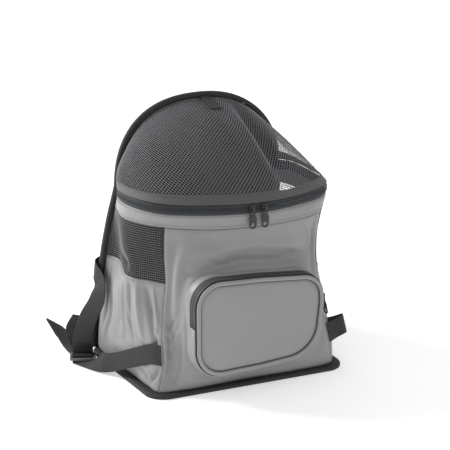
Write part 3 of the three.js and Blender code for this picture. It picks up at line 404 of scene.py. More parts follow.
finishes = {
    "nylon": {"color": (0.284, 0.278, 0.286), "roughness": 0.44, "change": 0.07, "size": 7, "weave": (0.0011, 0.0011),
              "threadShade": 0.05, "strength": 0.25, "depth": 0.0001, "grain": 900, "grainShare": 0.5,
              "specular": 0.45, "sheen": 0.08},
    "webbing": {"color": (0.027, 0.027, 0.026), "roughness": 0.6, "change": 0.35, "size": 30,
                "ribs": (0.0034, 0.0018), "threadShade": 1.5, "strength": 1.0, "depth": 0.0005, "specular": 0.35},
    "edging": {"color": (0.030, 0.031, 0.027), "roughness": 0.66, "change": 0.3, "size": 25,
               "ribs": (0.0016, 0.0012), "threadShade": 0.7, "strength": 0.7, "depth": 0.0003, "specular": 0.35},
    "net": {"color": (0.232, 0.236, 0.250), "roughness": 0.6, "change": 0.12, "size": 14,
            "grain": 1500, "strength": 0.2, "depth": 0.0001, "sheen": 0.1},
    "windowNet": {"color": (0.185, 0.187, 0.190), "roughness": 0.6, "change": 0.12, "size": 14,
                  "grain": 1500, "strength": 0.2, "depth": 0.0001, "sheen": 0.1},
    "lidBand": {"color": (0.086, 0.087, 0.091), "roughness": 0.62, "change": 0.35, "size": 20,
                "ribs": (0.0012, 0.0009), "threadShade": 0.35, "strength": 0.5, "depth": 0.0002, "sheen": 0.2},
    "zipTape": {"color": (0.028, 0.032, 0.037), "roughness": 0.62, "change": 0.2, "size": 30,
                "ribs": (0.0011, 0.0008), "threadShade": 0.5, "strength": 0.5, "depth": 0.0002, "sheen": 0.1},
    "zipTeeth": {"color": (0.050, 0.054, 0.060), "roughness": 0.32, "change": 0.1, "size": 30,
                 "grain": 1200, "strength": 0.1, "depth": 0.0001},
    "enamel": {"color": (0.010, 0.011, 0.013), "roughness": 0.3, "change": 0.3, "size": 60, "grain": 700,
               "strength": 0.12, "depth": 0.0001, "specular": 0.6},
    "buckle": {"color": (0.155, 0.152, 0.156), "roughness": 0.42, "change": 0.12, "size": 40, "grain": 1600,
               "strength": 0.18, "depth": 0.0001},
    "board": {"color": (0.030, 0.031, 0.029), "roughness": 0.58, "change": 0.3, "size": 18, "grain": 700,
              "strength": 0.35, "depth": 0.0003},
    "thread": {"color": (0.21, 0.205, 0.215), "roughness": 0.6, "change": 0.1, "size": 40,
               "grain": 2500, "strength": 0.3, "depth": 0.0001, "sheen": 0.2},
    # Dark thread of the edge stitching, also used as painted groove shade round the pocket's front
    "darkThreadAndGrooveShade": {"color": (0.045, 0.046, 0.046), "roughness": 0.6, "change": 0.1, "size": 40,
                   "grain": 2500, "strength": 0.3, "depth": 0.0001, "sheen": 0.2},
}
materials = {name: makeMaterial(name, look) for name, look in finishes.items()}
print("finishes made")


# Pieces
def deselectAll():
    bpy.ops.object.select_all(action="DESELECT")


def activate(piece):
    deselectAll()
    piece.select_set(True)
    bpy.context.view_layer.objects.active = piece


def settle(piece, finish, stands=(), body="bag"):
    piece.data.materials.clear()
    piece.data.materials.append(materials[finish])
    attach(piece, body)
    if stands:
        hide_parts(*stands)
    return piece


def meshPiece(name, points, faces, cornerUv=None, smooth=True):
    data = bpy.data.meshes.new(name)
    data.from_pydata((np.asarray(points) / 1000).tolist(), [], [list(map(int, f)) for f in faces])
    if cornerUv is not None:
        layer = data.uv_layers.new(name="cloth")
        layer.data.foreach_set("uv", np.asarray(cornerUv, dtype=np.float32).ravel())
    data.polygons.foreach_set("use_smooth", [smooth] * len(data.polygons))
    data.update()
    piece = bpy.data.objects.new(name, data)
    bpy.context.scene.collection.objects.link(piece)
    return piece


def gridNormals(points, ring=False):
    padded = np.concatenate([points[:, -2:-1], points, points[:, 1:2]], 1) if ring else points
    across = np.gradient(padded, axis=1)
    across = across[:, 1:-1] if ring else across
    up = np.gradient(points, axis=0)
    return unit(np.cross(across, up))


def gridUv(points):
    rows, columns = points.shape[:2]
    middle = points[rows // 2]
    u = np.concatenate([[0], np.cumsum(np.linalg.norm(np.diff(middle, axis=0), axis=-1))])
    line = points[:, columns // 2]
    v = np.concatenate([[0], np.cumsum(np.linalg.norm(np.diff(line, axis=0), axis=-1))])
    return np.stack(np.broadcast_arrays(u[None, :], v[:, None]), -1) / 1000


def sheetPiece(name, points, thickness, ring=False, normals=None):
    # A closed cloth body from its outer grid, rows up and columns round. A ring repeats its first column last.
    rows, columns = points.shape[:2]
    if normals is None:
        normals = gridNormals(points, ring)
    inner = points - normals * thickness
    uv = gridUv(points)
    index = np.arange(rows * columns).reshape(rows, columns)
    a, b, c, d = index[:-1, :-1], index[:-1, 1:], index[1:, 1:], index[1:, :-1]
    far = rows * columns
    front = np.stack([a, b, c, d], -1).reshape(-1, 4)
    back = np.stack([a, d, c, b], -1).reshape(-1, 4) + far
    low = np.stack([index[0, 1:], index[0, :-1], index[0, :-1] + far, index[0, 1:] + far], -1)
    high = np.stack([index[-1, :-1], index[-1, 1:], index[-1, 1:] + far, index[-1, :-1] + far], -1)
    faces = [front, back, low, high]
    if not ring:
        faces.append(np.stack([index[:-1, 0], index[1:, 0], index[1:, 0] + far, index[:-1, 0] + far], -1))
        faces.append(np.stack([index[1:, -1], index[:-1, -1], index[:-1, -1] + far, index[1:, -1] + far], -1))
    faces = np.concatenate(faces)
    flatUv = np.concatenate([uv.reshape(-1, 2)] * 2)
    piece = meshPiece(name, np.concatenate([points.reshape(-1, 3), inner.reshape(-1, 3)]), faces, flatUv[faces])
    if ring:
        activate(piece)
        bpy.ops.object.mode_set(mode="EDIT")
        bpy.ops.mesh.select_all(action="SELECT")
        bpy.ops.mesh.remove_doubles(threshold=0.00001)
        bpy.ops.object.mode_set(mode="OBJECT")
    return piece


def sweepPiece(name, sections, ring=False):
    # A closed body through sections of the same corners. sections: (count, corners, 3)
    count, corners = sections.shape[:2]
    loop = np.concatenate([sections, sections[:1]]) if ring else sections
    wide = np.concatenate([loop, loop[:, :1]], 1)
    uv = gridUv(np.swapaxes(wide, 0, 1)).swapaxes(0, 1)[..., ::-1]
    rows, columns = wide.shape[:2]
    index = np.arange(rows * columns).reshape(rows, columns)
    faces = np.stack([index[:-1, :-1], index[:-1, 1:], index[1:, 1:], index[1:, :-1]], -1).reshape(-1, 4)
    faces = [list(f) for f in faces]
    uvs = uv.reshape(-1, 2)
    cornerUv = [uvs[i] for f in faces for i in f]
    if not ring:
        for end in (index[0, :-1][::-1], index[-1, :-1]):
            faces.append(list(end))
            cornerUv += [uvs[i] for i in end]
    piece = meshPiece(name, wide.reshape(-1, 3), faces, cornerUv)
    activate(piece)
    bpy.ops.object.mode_set(mode="EDIT")
    bpy.ops.mesh.select_all(action="SELECT")
    bpy.ops.mesh.remove_doubles(threshold=0.00001)
    bpy.ops.mesh.normals_make_consistent(inside=False)
    bpy.ops.object.mode_set(mode="OBJECT")
    bpy.ops.object.shade_smooth_by_angle(angle=math.radians(50))
    return piece


def joinPieces(parts, name):
    deselectAll()
    for part in parts:
        part.select_set(True)
    bpy.context.view_layer.objects.active = parts[0]
    bpy.ops.object.join()
    parts[0].name = name
    return parts[0]


def tubeFaces(lines, sides, capped=True):
    # Faces and corners of many thin closed tubes
    verts, faces, start = [], [], 0
    for rings in lines:
        n = len(rings)
        verts.append(rings.reshape(-1, 3))
        for i in range(n - 1):
            for k in range(sides):
                a, b = start + i * sides + k, start + i * sides + (k + 1) % sides
                faces.append((a, b, b + sides, a + sides))
        if capped:
            faces.append(tuple(start + k for k in reversed(range(sides))))
            faces.append(tuple(start + (n - 1) * sides + k for k in range(sides)))
        start += n * sides
    return np.concatenate(verts), faces


def threadRings(line, normals, halfWide, halfThick, sides=3):
    along = unit(np.gradient(line, axis=0))
    side = unit(np.cross(normals, along))
    angles = np.arange(sides) * 2 * math.pi / sides + math.pi / 2
    rings = [line + side * math.cos(a) * halfWide + normals * math.sin(a) * halfThick for a in angles]
    return np.stack(rings, 1)


def stitchLine(line, normals, pitch=3.4, long=2.3, radius=0.28, lift=0.12):
    # Short threads one after another along a line
    steps = np.linalg.norm(np.diff(line, axis=0), axis=-1)
    place = np.concatenate([[0], np.cumsum(steps)])
    count = max(int(place[-1] / pitch), 1)
    rings = []
    for i in range(count):
        at = (i + 0.5) * place[-1] / count + np.array([-0.5, -0.3, 0.3, 0.5]) * long
        path = np.stack([np.interp(at, place, line[:, k]) for k in range(3)], -1)
        up = unit(np.stack([np.interp(at, place, normals[:, k]) for k in range(3)], -1))
        path = path + up * (lift + np.array([-0.25, 0.1, 0.1, -0.25])[:, None])
        ring = threadRings(path, up, radius, radius, 4)
        rings.append(ring)
    return rings


def stitchPiece(name, lines, finish="thread"):
    points, faces = tubeFaces(lines, 4)
    return settle(meshPiece(name, points, faces), finish)


# Walls
wallDetail = {"tuck": 1.1, "tuckWidth": 2.6, "waves": 0.9, "edgeInset": 0.15}


def wallSpan(fromU, toU, low, high, columns, rows, seed, proud=0.0, folded=1.0):
    inset = wallDetail["edgeInset"]
    z = np.linspace(low + inset, high - inset, rows)[:, None]
    share = np.linspace(0, 1, columns)[None, :]
    u0 = fromU + (0.0 if fromU == 0 else inset / 60)
    u1 = toU - (0.0 if toU == 12 else inset / 60)
    u = u0 + (u1 - u0) * share
    u, z = np.broadcast_arrays(u, z)
    points, out = wallAt(u, z), outward(wallAt, u, z)
    depth = foldDepth(u, z) * folded + wallDetail["waves"] * folded * softWaves(u * 62, z, 55, seed)
    edge = np.minimum(np.minimum((u - u0), (u1 - u)) * 60, np.minimum(z - low, high - z))
    depth = depth * np.clip(edge / 14, 0, 1)
    tuck = wallDetail["tuck"] * np.exp(-(np.maximum(edge, 0) / wallDetail["tuckWidth"]) ** 2)
    shape = points + out * (proud - depth - tuck)[..., None]
    return shape, u, z, out


def wallLine(us, zs, lift=0.0):
    us, zs = np.broadcast_arrays(np.asarray(us, float), np.asarray(zs, float))
    out = outward(wallAt, us, zs)
    depth = foldDepth(us, zs)
    return wallAt(us, zs) + out * lift, out


spans = {
    "front_panel": (4, 8, bag["stand"], bag["windowHigh"], 150, 120, 3),
    "side_panel_left": (0, 4, bag["stand"], bag["windowLow"], 100, 80, 5),
    "side_panel_right": (8, 12, bag["stand"], bag["windowLow"], 100, 80, 8),
}
for node, (u0, u1, low, high, columns, rows, seed) in spans.items():
    shape, *_ = wallSpan(u0, u1, low, high, columns, rows, seed)
    settle(sheetPiece(node.replace("_", "-"), shape, bag["cloth"]), "nylon", [node])
shape, *_ = wallSpan(0, 12, bag["windowHigh"], bag["rim"], 360, 18, 11, folded=0.9)
settle(sheetPiece("collar-band", shape, bag["cloth"]), "nylon", ["collar_band"])
print("cloth walls made")


# Nets
netPlan = {"pitch": 4.1, "halfWide": 0.48, "halfThick": 0.24, "weave": 0.16}
windowPlan = {"pitch": 3.4, "halfWide": 0.58, "halfThick": 0.28, "weave": 0.2}


def netThreads(length, reach, place, low, plan):
    # Threads on both diagonals. place(a, v) gives points and normals; reach(a) is how far up the cloth goes.
    step = plan["pitch"] * math.sqrt(2)
    lines = []
    top = float(np.max(reach(np.linspace(0, length, 200))))
    rise = np.arange(0, top - low + step / 2, step / 2)
    first = -int((top - low) / step) - 1
    last = int((length + top - low) / step) + 2
    for way in (1, -1):
        for k in range(first, last):
            a = (k + 0.25) * step + way * rise + (0 if way > 0 else 0.5 * step)
            v = low + rise
            inside = (a >= 0) & (a <= length)
            inside &= v <= reach(np.clip(a, 0, length))
            order = np.flatnonzero(inside)
            if len(order) < 3:
                continue
            order = np.arange(order[0], order[-1] + 1)
            aLine, vLine = np.clip(a[order], 0, length), v[order]
            endA = np.clip(aLine[-1] + way * 0.4 * step, 0, length)
            endV = float(reach(np.array([endA]))[0])
            if endV - vLine[-1] < step:
                aLine, vLine = np.append(aLine, endA), np.append(vLine, endV)
            points, normals = place(aLine, vLine)
            over = np.where((np.arange(len(aLine)) + k) % 2 == 0, 1.0, -1.0) * way * plan["weave"]
            points = points + normals * over[:, None]
            lines.append(threadRings(points, normals, plan["halfWide"], plan["halfThick"]))
    return lines


def rimPoint(t):
    u = 0.12 + (12 - 0.24) * np.asarray(t, float)
    flat = wallAt(u, np.full_like(u, bag["zipTop"]))
    flat[..., 2] = bag["zipTop"] + bag["net"] + bag["gap"]
    return flat


rimT = np.linspace(0, 1, 97)
rimLine = rimPoint(rimT)
rimPlace = np.concatenate([[0], np.cumsum(np.linalg.norm(np.diff(rimLine, axis=0), axis=-1))])
rimLength = rimPlace[-1]


def evenRim(t):
    return rimPoint(np.interp(np.asarray(t) * rimLength, rimPlace, rimT))


def archPoint(t):
    seat = 1.3
    reach = bag["archHalf"] - bag["binding"] - seat
    rise = bag["archRise"] - bag["binding"] - seat
    angle = math.pi * (1 - (0.07 + 0.86 * np.asarray(t, float)))

    def rounded(value):
        return np.sign(value) * np.abs(value) ** (2 / bag["archPower"])

    z = bag["spring"] + rise * rounded(np.sin(angle))
    return np.stack([reach * rounded(np.cos(angle)), backY(z) - seat, z], -1)


lidFolds = [[0.535, 0.065, 0.045, -0.22], [0.580, 0.075, 0.030, 0.50], [0.640, 0.060, 0.035, -0.12]]
lidRise = [[0.00, 0.05], [0.12, 0.45], [0.30, 0.90], [0.46, 1.00], [0.56, 0.60], [0.62, 0.22], [0.75, 0.12],
           [1.00, 0.05]]


def lidAt(t, s):
    t, s = np.broadcast_arrays(np.asarray(t, float), np.asarray(s, float))
    low, high = evenRim(t), archPoint(t)
    a, b = np.maximum(t - 0.02, 0), np.minimum(t + 0.02, 1)
    side = (evenRim(b) + archPoint(b)) / 2 - (evenRim(a) + archPoint(a)) / 2
    out = unit(np.cross(side, high - low))
    rows = np.array(lidRise)
    rise = readColumn(rows[:, 0], rows[:, 1], t)
    for at, slant, spread, deep in lidFolds:
        rise = rise - deep * np.exp(-((t - at - slant * s) / spread) ** 2)
    return low + (high - low) * s[..., None] + out * (25 * rise * np.sin(math.pi * s))[..., None]


def lidOut(t, s):
    x, y = np.clip(t, 0.01, 0.99), np.clip(s, 0.01, 0.99)
    side = lidAt(x + 0.01, y) - lidAt(x - 0.01, y)
    return unit(np.cross(side, lidAt(x, y + 0.01) - lidAt(x, y - 0.01)))


rulingLength = np.linalg.norm(archPoint(rimT) - evenRim(rimT), axis=-1) * 1.03


def lidReach(a):
    return np.interp(a / rimLength, rimT, rulingLength)


def lidPlace(a, v):
    t, s = a / rimLength, np.clip(v / lidReach(a), 0, 1)
    out = lidOut(t, s)
    soft = 0.8 * softWaves(a, v, 60, 21) * np.sin(math.pi * s)
    return lidAt(t, s) - out * (0.6 + soft)[..., None], out


lidLines = netThreads(rimLength, lidReach, lidPlace, 12.0, netPlan)
points, faces = tubeFaces(lidLines, 3, capped=False)
lidNet = settle(meshPiece("lid-net", points, faces), "net", ["lid_net"])

t = np.linspace(0.004, 0.996, 300)[None, :]
bandShare = np.clip(13.0 / (rulingLength / 1.03), 0, 0.97)
band = np.interp(t[0], rimT, bandShare)[None, :]
s = np.linspace(-0.1, 1, 8)[:, None] * band
shape = lidAt(np.broadcast_to(t, s.shape), s)
settle(sheetPiece("lid-band", shape, bag["net"]), "lidBand", ["lid_band"])


def straightThreads(width, high, place, plan):
    # Rows along the window and threads up it
    lines, pitch = [], plan["pitch"]
    for k in range(int(high / pitch) + 1):
        v = min(k * pitch + 0.8, high - 0.5)
        a = np.arange(0.3, width - 0.2, 2.0)
        points, normals = place(a, np.full_like(a, v))
        wave = np.cos(a * math.pi / pitch + k * math.pi) * plan["weave"]
        lines.append(threadRings(points + normals * wave[:, None], normals, plan["halfWide"], plan["halfThick"]))
    for k in range(int(width / pitch) + 1):
        a = min(k * pitch + 0.8, width - 0.5)
        v = np.arange(0.3, high - 0.2, 2.0)
        points, normals = place(np.full_like(v, a), v)
        wave = -np.cos(v * math.pi / pitch + k * math.pi) * plan["weave"]
        lines.append(threadRings(points + normals * wave[:, None], normals, plan["halfWide"] * 0.6,
                                 plan["halfThick"]))
    return lines


def windowNet(name, node, u0, u1):
    us = np.linspace(u0, u1, 120)
    middle = wallAt(us, np.full_like(us, (bag["windowLow"] + bag["windowHigh"]) / 2))
    places = np.concatenate([[0], np.cumsum(np.linalg.norm(np.diff(middle, axis=0), axis=-1))])
    high = bag["windowHigh"] - bag["windowLow"]

    def place(a, v):
        u, z = np.interp(a, places, us), bag["windowLow"] + v
        out = outward(wallAt, u, z)
        tucked = 3.0 * np.exp(-((u - 8) / 0.35) ** 2)  # the right window turns in behind the front seam
        return wallAt(u, z) - out * (0.6 + 0.6 * foldDepth(u, z) + tucked)[..., None], out

    lines = straightThreads(places[-1], high, place, windowPlan)
    points, faces = tubeFaces(lines, 3, capped=False)
    piece = settle(meshPiece(name, points, faces), "windowNet", [node])
    return piece


windowNet("window-net-left", "window_net_left", 0.0, 4.0)
windowNet("window-net-right", "window_net_right", 8.0, 12.0)
print("nets made", len(lidLines))


# Zips
zipPlan = {"tape": 6.0, "coil": 2.6, "gap": 0.3, "teethPitch": 1.5, "toothWide": 0.42}


def tapeStrip(name, node, low, high):
    shape, *_ = wallSpan(0.12, 11.88, low, high, 300, 8, 31, folded=0.0)
    return settle(sheetPiece(name, shape, bag["cloth"]), "zipTape", [node])


coilLow = bag["rim"] + zipPlan["tape"] + zipPlan["gap"]
coilHigh = coilLow + zipPlan["coil"]
coilMiddle = (coilLow + coilHigh) / 2
tapeStrip("rim-tape-lower", "rim_tape_lower", bag["rim"], coilMiddle)
tapeStrip("rim-tape-upper", "rim_tape_upper", coilMiddle, bag["zipTop"])


def teethAlong(line, normals, up, reach):
    # Bent wire teeth of a coil zip, one pair after another, alternately from below and above
    steps = np.linalg.norm(np.diff(line, axis=0), axis=-1)
    place = np.concatenate([[0], np.cumsum(steps)])
    count = int(place[-1] / zipPlan["teethPitch"])
    rings = []
    for i in range(count):
        at = (i + 0.5) * place[-1] / count
        middle = np.array([np.interp(at, place, line[:, k]) for k in range(3)])
        out = unit(np.array([np.interp(at, place, normals[:, k]) for k in range(3)]))
        rise = unit(np.array([np.interp(at, place, up[:, k]) for k in range(3)]))
        side = 1 if i % 2 else -1
        spots = np.array([[-1.0, -0.35], [-0.55, 0.25], [0.15, 0.3], [0.45, -0.2]])
        path = middle + rise * (spots[:, :1] * reach * side) + out * spots[:, 1:]
        rings.append(threadRings(path, np.broadcast_to(out, path.shape), zipPlan["toothWide"], 0.4, 4))
    return rings


us = np.linspace(0.14, 11.86, 500)
line, out = wallLine(us, np.full_like(us, coilMiddle), 0.8)
up = wallAt(us, np.full_like(us, coilHigh)) - wallAt(us, np.full_like(us, coilLow))
points, faces = tubeFaces(teethAlong(line, out, up, 2.7), 4)
settle(meshPiece("rim-coil", points, faces), "zipTeeth", ["rim_coil"])
print("rim zip made")


# Pocket
pocket = {
    "halfWidth": 104.0, "low": 36.5, "high": 182.0, "drop": 11.0, "front": -150.0, "crown": 4.0,
    "piping": 3.2, "zip": 16.0, "zipStart": 113.0, "zipEnd": 122.0, "skin": -1.0,
}
gussetFront = pocket["front"] + pocket["piping"] - 0.85
zipBack = gussetFront + pocket["zip"]
pocketCorners = [  # across, z, radius, first angle, whether the zip runs there
    [-1.00, pocket["high"], 38, 180, True],
    [1.00, pocket["high"] - pocket["drop"], 36, 90, True],
    [0.97, pocket["low"] + 4, 56, 0, False],
    [-1.00, pocket["low"], 42, -90, False],
]


def pocketOutline(inset, fine=4):
    # Places round the pocket from the zip's left end, over the top, and whether the zip runs there
    half, near, places = pocket["halfWidth"], 0.25, []

    def arc(across, z, radius, start, zipped):
        middleX = across * half - math.copysign(radius, across)
        middleZ = z + (-radius if zipped else radius)
        for degrees in np.linspace(start, start - 90, 6 * fine + 1):
            angle = math.radians(degrees)
            reach = radius - inset
            places.append((middleX + reach * math.cos(angle), middleZ + reach * math.sin(angle), zipped))

    def straight(x1, z1, zipped):
        x0, z0, _ = places[-1]
        for share in np.linspace(0, 1, 3 * fine + 1)[1:-1]:
            places.append((x0 + (x1 - x0) * share, z0 + (z1 - z0) * share, zipped))

    places.append((inset - half, pocket["zipStart"] - near, False))
    places.append((inset - half, pocket["zipStart"] + near, True))
    arc(*pocketCorners[0])
    x, z = 0, pocket["high"] - pocket["drop"] * 0.35 - inset
    straight(x, z, True)
    places.append((x, z, True))
    corner = pocketCorners[1]
    straight(half - corner[2], corner[1] - inset, True)
    arc(*corner)
    places.append((half - inset, pocket["zipEnd"] + near, True))
    places.append((half - inset, pocket["zipEnd"] - near, False))
    arc(*pocketCorners[2])
    straight(0, pocket["low"] + 1 + inset, False)
    places.append((0, pocket["low"] + 1 + inset, False))
    corner = pocketCorners[3]
    straight(corner[2] - half, pocket["low"] + inset, False)
    arc(*corner)
    return places


def frontFace(x, z):
    low, high = np.full(x.shape, 4.0), np.full(x.shape, 8.0)
    for _ in range(24):
        middle = (low + high) / 2
        left = wallAt(middle, z)[..., 0] < x
        low, high = np.where(left, middle, low), np.where(left, high, middle)
    middle = (low + high) / 2
    return wallAt(middle, z)[..., 1] + np.clip(foldDepth(middle, z) + 1.5, 0, 14)


def pocketRing(inset, y):
    places = pocketOutline(inset)
    ring = np.array([(x, y(i) if callable(y) else y, z) for i, (x, z, _) in enumerate(places)])
    return np.concatenate([ring, ring[:1]])


skin = pocket["skin"]
edge = pocketOutline(skin)
xs, zs = np.array([p[0] for p in edge]), np.array([p[1] for p in edge])
zipped = [p[2] for p in edge]
rear = frontFace(xs, zs)
rows = []
count = 12
for k in range(count + 1):
    share = k / count
    bulge = 1.2 * math.sin(math.pi * share)
    wave = 0.7 * softWaves(xs + zs, np.full_like(xs, share * 40), 45, 41) * math.sin(math.pi * share)

    def depth(i, share=share):
        fore = zipBack + bag["gap"] if zipped[i] else gussetFront
        return rear[i] + (fore - rear[i]) * share

    ring = pocketRing(skin - bulge, depth)
    ring[:, 1] += 0
    pushed = np.append(wave, wave[0])
    centre = np.array([0, 0, 108.0])
    away = ring - centre
    away[:, 1] = 0
    rows.append(ring + unit(away) * pushed[:, None])
gusset = np.stack(rows)
settle(sheetPiece("pocket-gusset", gusset, bag["cloth"], ring=True), "nylon", ["pocket_gusset"])

# The pocket's zip: two tapes with a coil between them, over the top
zipPlaces = [i for i, flag in enumerate(zipped) if flag]


def zipBand(name, y0, y1, dip):
    rows = []
    for share in np.linspace(0, 1, 6):
        y = y0 + (y1 - y0) * share
        ring = pocketRing(skin + dip, y)[zipPlaces]
        rows.append(ring)
    return sheetPiece(name, np.stack(rows), 1.2)


middleY = (zipBack + gussetFront) / 2
lowTape = zipBand("pocket-zip-rear", zipBack, middleY + 0.15, 0.6)
highTape = zipBand("pocket-zip-front", middleY - 0.15, gussetFront, 0.6)
pocketTape = settle(joinPieces([lowTape, highTape], "pocket-zip"), "zipTape", ["pocket_zip"])
line = pocketRing(skin - 0.5, middleY)[zipPlaces]
away = unit(line * np.array([1, 0, 1]) - np.array([0, 0, 108.0]))
forward = np.broadcast_to(np.array([0, -1.0, 0]), line.shape)
points, faces = tubeFaces(teethAlong(line, away, forward, 2.7), 4)
settle(meshPiece("pocket-coil", points, faces), "zipTeeth")

angles = np.radians(np.arange(0, 360, 24))
sections = []
for i in range(len(pocketOutline(0))):
    sections.append([])
for angle in angles:
    r = pocket["piping"]
    around = pocketOutline(r - r * math.cos(angle))
    for i, (x, z, _) in enumerate(around):
        sections[i].append((x, pocket["front"] + r * math.sin(angle), z))
piping = settle(sweepPiece("pocket-piping", np.array(sections), ring=True), "nylon", ["pocket_piping"])

border = 2 * pocket["piping"] + bag["gap"]
outline = np.array([(x, z) for x, z, _ in pocketOutline(border)])
outline = np.concatenate([outline, outline[:1]])
centre = np.array([0.0, (pocket["high"] + pocket["low"] - pocket["drop"] / 2) / 2])
rows = []
shares = np.concatenate([[0.0], np.linspace(0.04, 0.9, 26), np.linspace(0.92, 1, 12)])
for share in shares:
    flat = centre + (outline - centre) * share
    y = pocket["front"] - pocket["crown"] * (1 - share ** 4)
    inward = (1 - share) * 100
    soft = 0.9 * softWaves(flat[:, 0], flat[:, 1], 80, 51) * min(inward / 14, 1)
    tuck = 1.0 * np.exp(-((1 - share) * 90 / 3.0) ** 2)
    rows.append(np.stack([flat[:, 0], np.full(len(flat), y) + soft + tuck, flat[:, 1]], -1))
face = np.stack(rows)[::-1]
facing = np.broadcast_to(np.array([0, -1.0, 0]), face.shape)
settle(sheetPiece("pocket-front", face, bag["cloth"], True, facing), "nylon", ["pocket_front"])
# A dark thread tube round the pocket's front face: painted shade for the dark groove between the piping and the front
seam = np.array([(x, pocket["front"] - 0.5, z) for x, z, _ in pocketOutline(border - 0.35)])
seam = np.concatenate([seam, seam[:1]])
points, faces = tubeFaces([threadRings(seam, np.broadcast_to(np.array([0, -1.0, 0]), seam.shape), 0.9, 0.6, 6)], 6)
settle(meshPiece("pocket-seam-shade", points, faces), "darkThreadAndGrooveShade")
print("pocket made")


# Back, edges and base
def backPiece():
    z = np.concatenate([
        np.linspace(bag["stand"], bag["spring"], 50),
        bag["spring"] + np.sin(np.linspace(0, 1, 45)[1:] * math.pi / 2) * (bag["archRise"] - bag["binding"]) * 0.9995,
    ])[:, None]
    across = np.linspace(-1, 1, 60)[None, :]
    x = across * backHalf(z)
    edge = np.clip((1 - np.abs(across)) * backHalf(z) / 16, 0, 1) * np.clip((z - bag["stand"]) / 16, 0, 1)
    crown = 0.9 * np.sin(edge * math.pi / 2)
    quilt = 0.7 * np.exp(-((np.mod(z, 46) - 23) / 1.6) ** 2) * edge
    y = backY(z) + bag["backWall"] + crown - quilt
    y, zz = np.broadcast_arrays(y, z)
    shape = np.stack([-x, y + 0 * x, zz + 0 * x], -1)
    return sheetPiece("back-panel", shape, bag["backWall"] - 0.1)


backPanel = settle(backPiece(), "edging", ["back_panel"])


def bindingSweep():
    low = np.linspace(bag["stand"], bag["spring"], 60)
    rise = (bag["archRise"] - bag["binding"]) * 0.998
    angle = np.linspace(0, math.pi, 121)[1:-1]

    def rounded(value):
        return np.sign(value) * np.abs(value) ** (2 / bag["archPower"])

    reach = bag["archHalf"] - bag["binding"]
    x = np.concatenate([-backHalf(low), -reach * rounded(np.cos(angle)), backHalf(low[::-1])])
    z = np.concatenate([low, bag["spring"] + rise * rounded(np.sin(angle)), low[::-1]])
    along = unit(np.stack([np.gradient(x), np.gradient(z)], -1))
    outX, outZ = -along[:, 1], along[:, 0]
    deep, lip, wide = bag["backWall"], 1.4, bag["binding"]
    profile = [
        (0.3, -lip + 0.4), (0.7, -lip), (2.4, -lip - 0.1), (wide * 0.72, -lip + 0.1), (wide * 0.93, 0.3),
        (wide, 1.8), (wide, deep - 1.8), (wide * 0.93, deep - 0.3), (wide * 0.72, deep + lip - 0.1),
        (2.4, deep + lip + 0.1), (0.7, deep + lip), (0.3, deep + lip - 0.4),
    ]
    base = backY(z)
    sections = [np.stack([x + outX * reach, base + y, z + outZ * reach], -1) for reach, y in profile]
    return np.stack(sections, 1), x, z, outX, outZ, base


sections, *_ = bindingSweep()
settle(sweepPiece("back-binding", sections), "edging", ["back_binding"])


def baseOutline(inset, fine=10):
    places = []
    for sideX, sideY, start in ((-1, -1, 180), (1, -1, 270), (1, 1, 0), (-1, 1, 90)):
        for degrees in np.linspace(start, start + 90, fine + 1):
            angle = math.radians(degrees)
            r = bag["corner"] - inset
            x = sideX * (bag["halfWidth"] - bag["corner"]) + r * math.cos(angle)
            y = sideY * (bag["halfDepth"] - bag["corner"]) + r * math.sin(angle)
            forward = max(-y / bag["halfDepth"], 0) * bag["skew"] * (x / (2 * bag["halfWidth"]) + 0.25)
            places.append((x, y - forward))
    places.append(places[0])
    dense = []
    for (x0, y0), (x1, y1) in zip(places, places[1:]):
        steps = max(int(math.hypot(x1 - x0, y1 - y0) / 6), 1)
        dense += [(x0 + (x1 - x0) * k / steps, y0 + (y1 - y0) * k / steps) for k in range(steps)]
    return np.array(dense)


def baseEdge():
    profile = [(0.6, 0.25), (3.0, 0.0), (3.0, 4.75), (12.3, 4.75), (12.5, 5.4), (11.8, 6.0), (7.0, 6.25),
               (2.4, 6.1), (0.9, 5.4), (0.15, 3.9), (0.0, 2.2), (0.2, 0.9)]
    counts = [len(baseOutline(inset)) for inset, _ in profile]
    size = min(counts)
    rings = []
    for inset, z in profile:
        ring = baseOutline(inset)
        closed = np.concatenate([ring, ring[:1]])
        place = np.concatenate([[0], np.cumsum(np.linalg.norm(np.diff(closed, axis=0), axis=-1))])
        at = np.linspace(0, place[-1], 260)[:-1]
        x, y = np.interp(at, place, closed[:, 0]), np.interp(at, place, closed[:, 1])
        sag = 0.25 * softWaves(x, y, 70, 61) if z > 5 else 0
        rings.append(np.stack([x, y, np.full(len(at), z) + sag], -1))
    return np.stack(rings, 1)


settle(sweepPiece("base-binding", baseEdge(), ring=True), "edging", ["base_binding"])
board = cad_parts["base_board"]
for boardSlot in board.material_slots:
    boardSlot.link = "OBJECT"
    boardSlot.material = materials["board"]
print("back and base made")


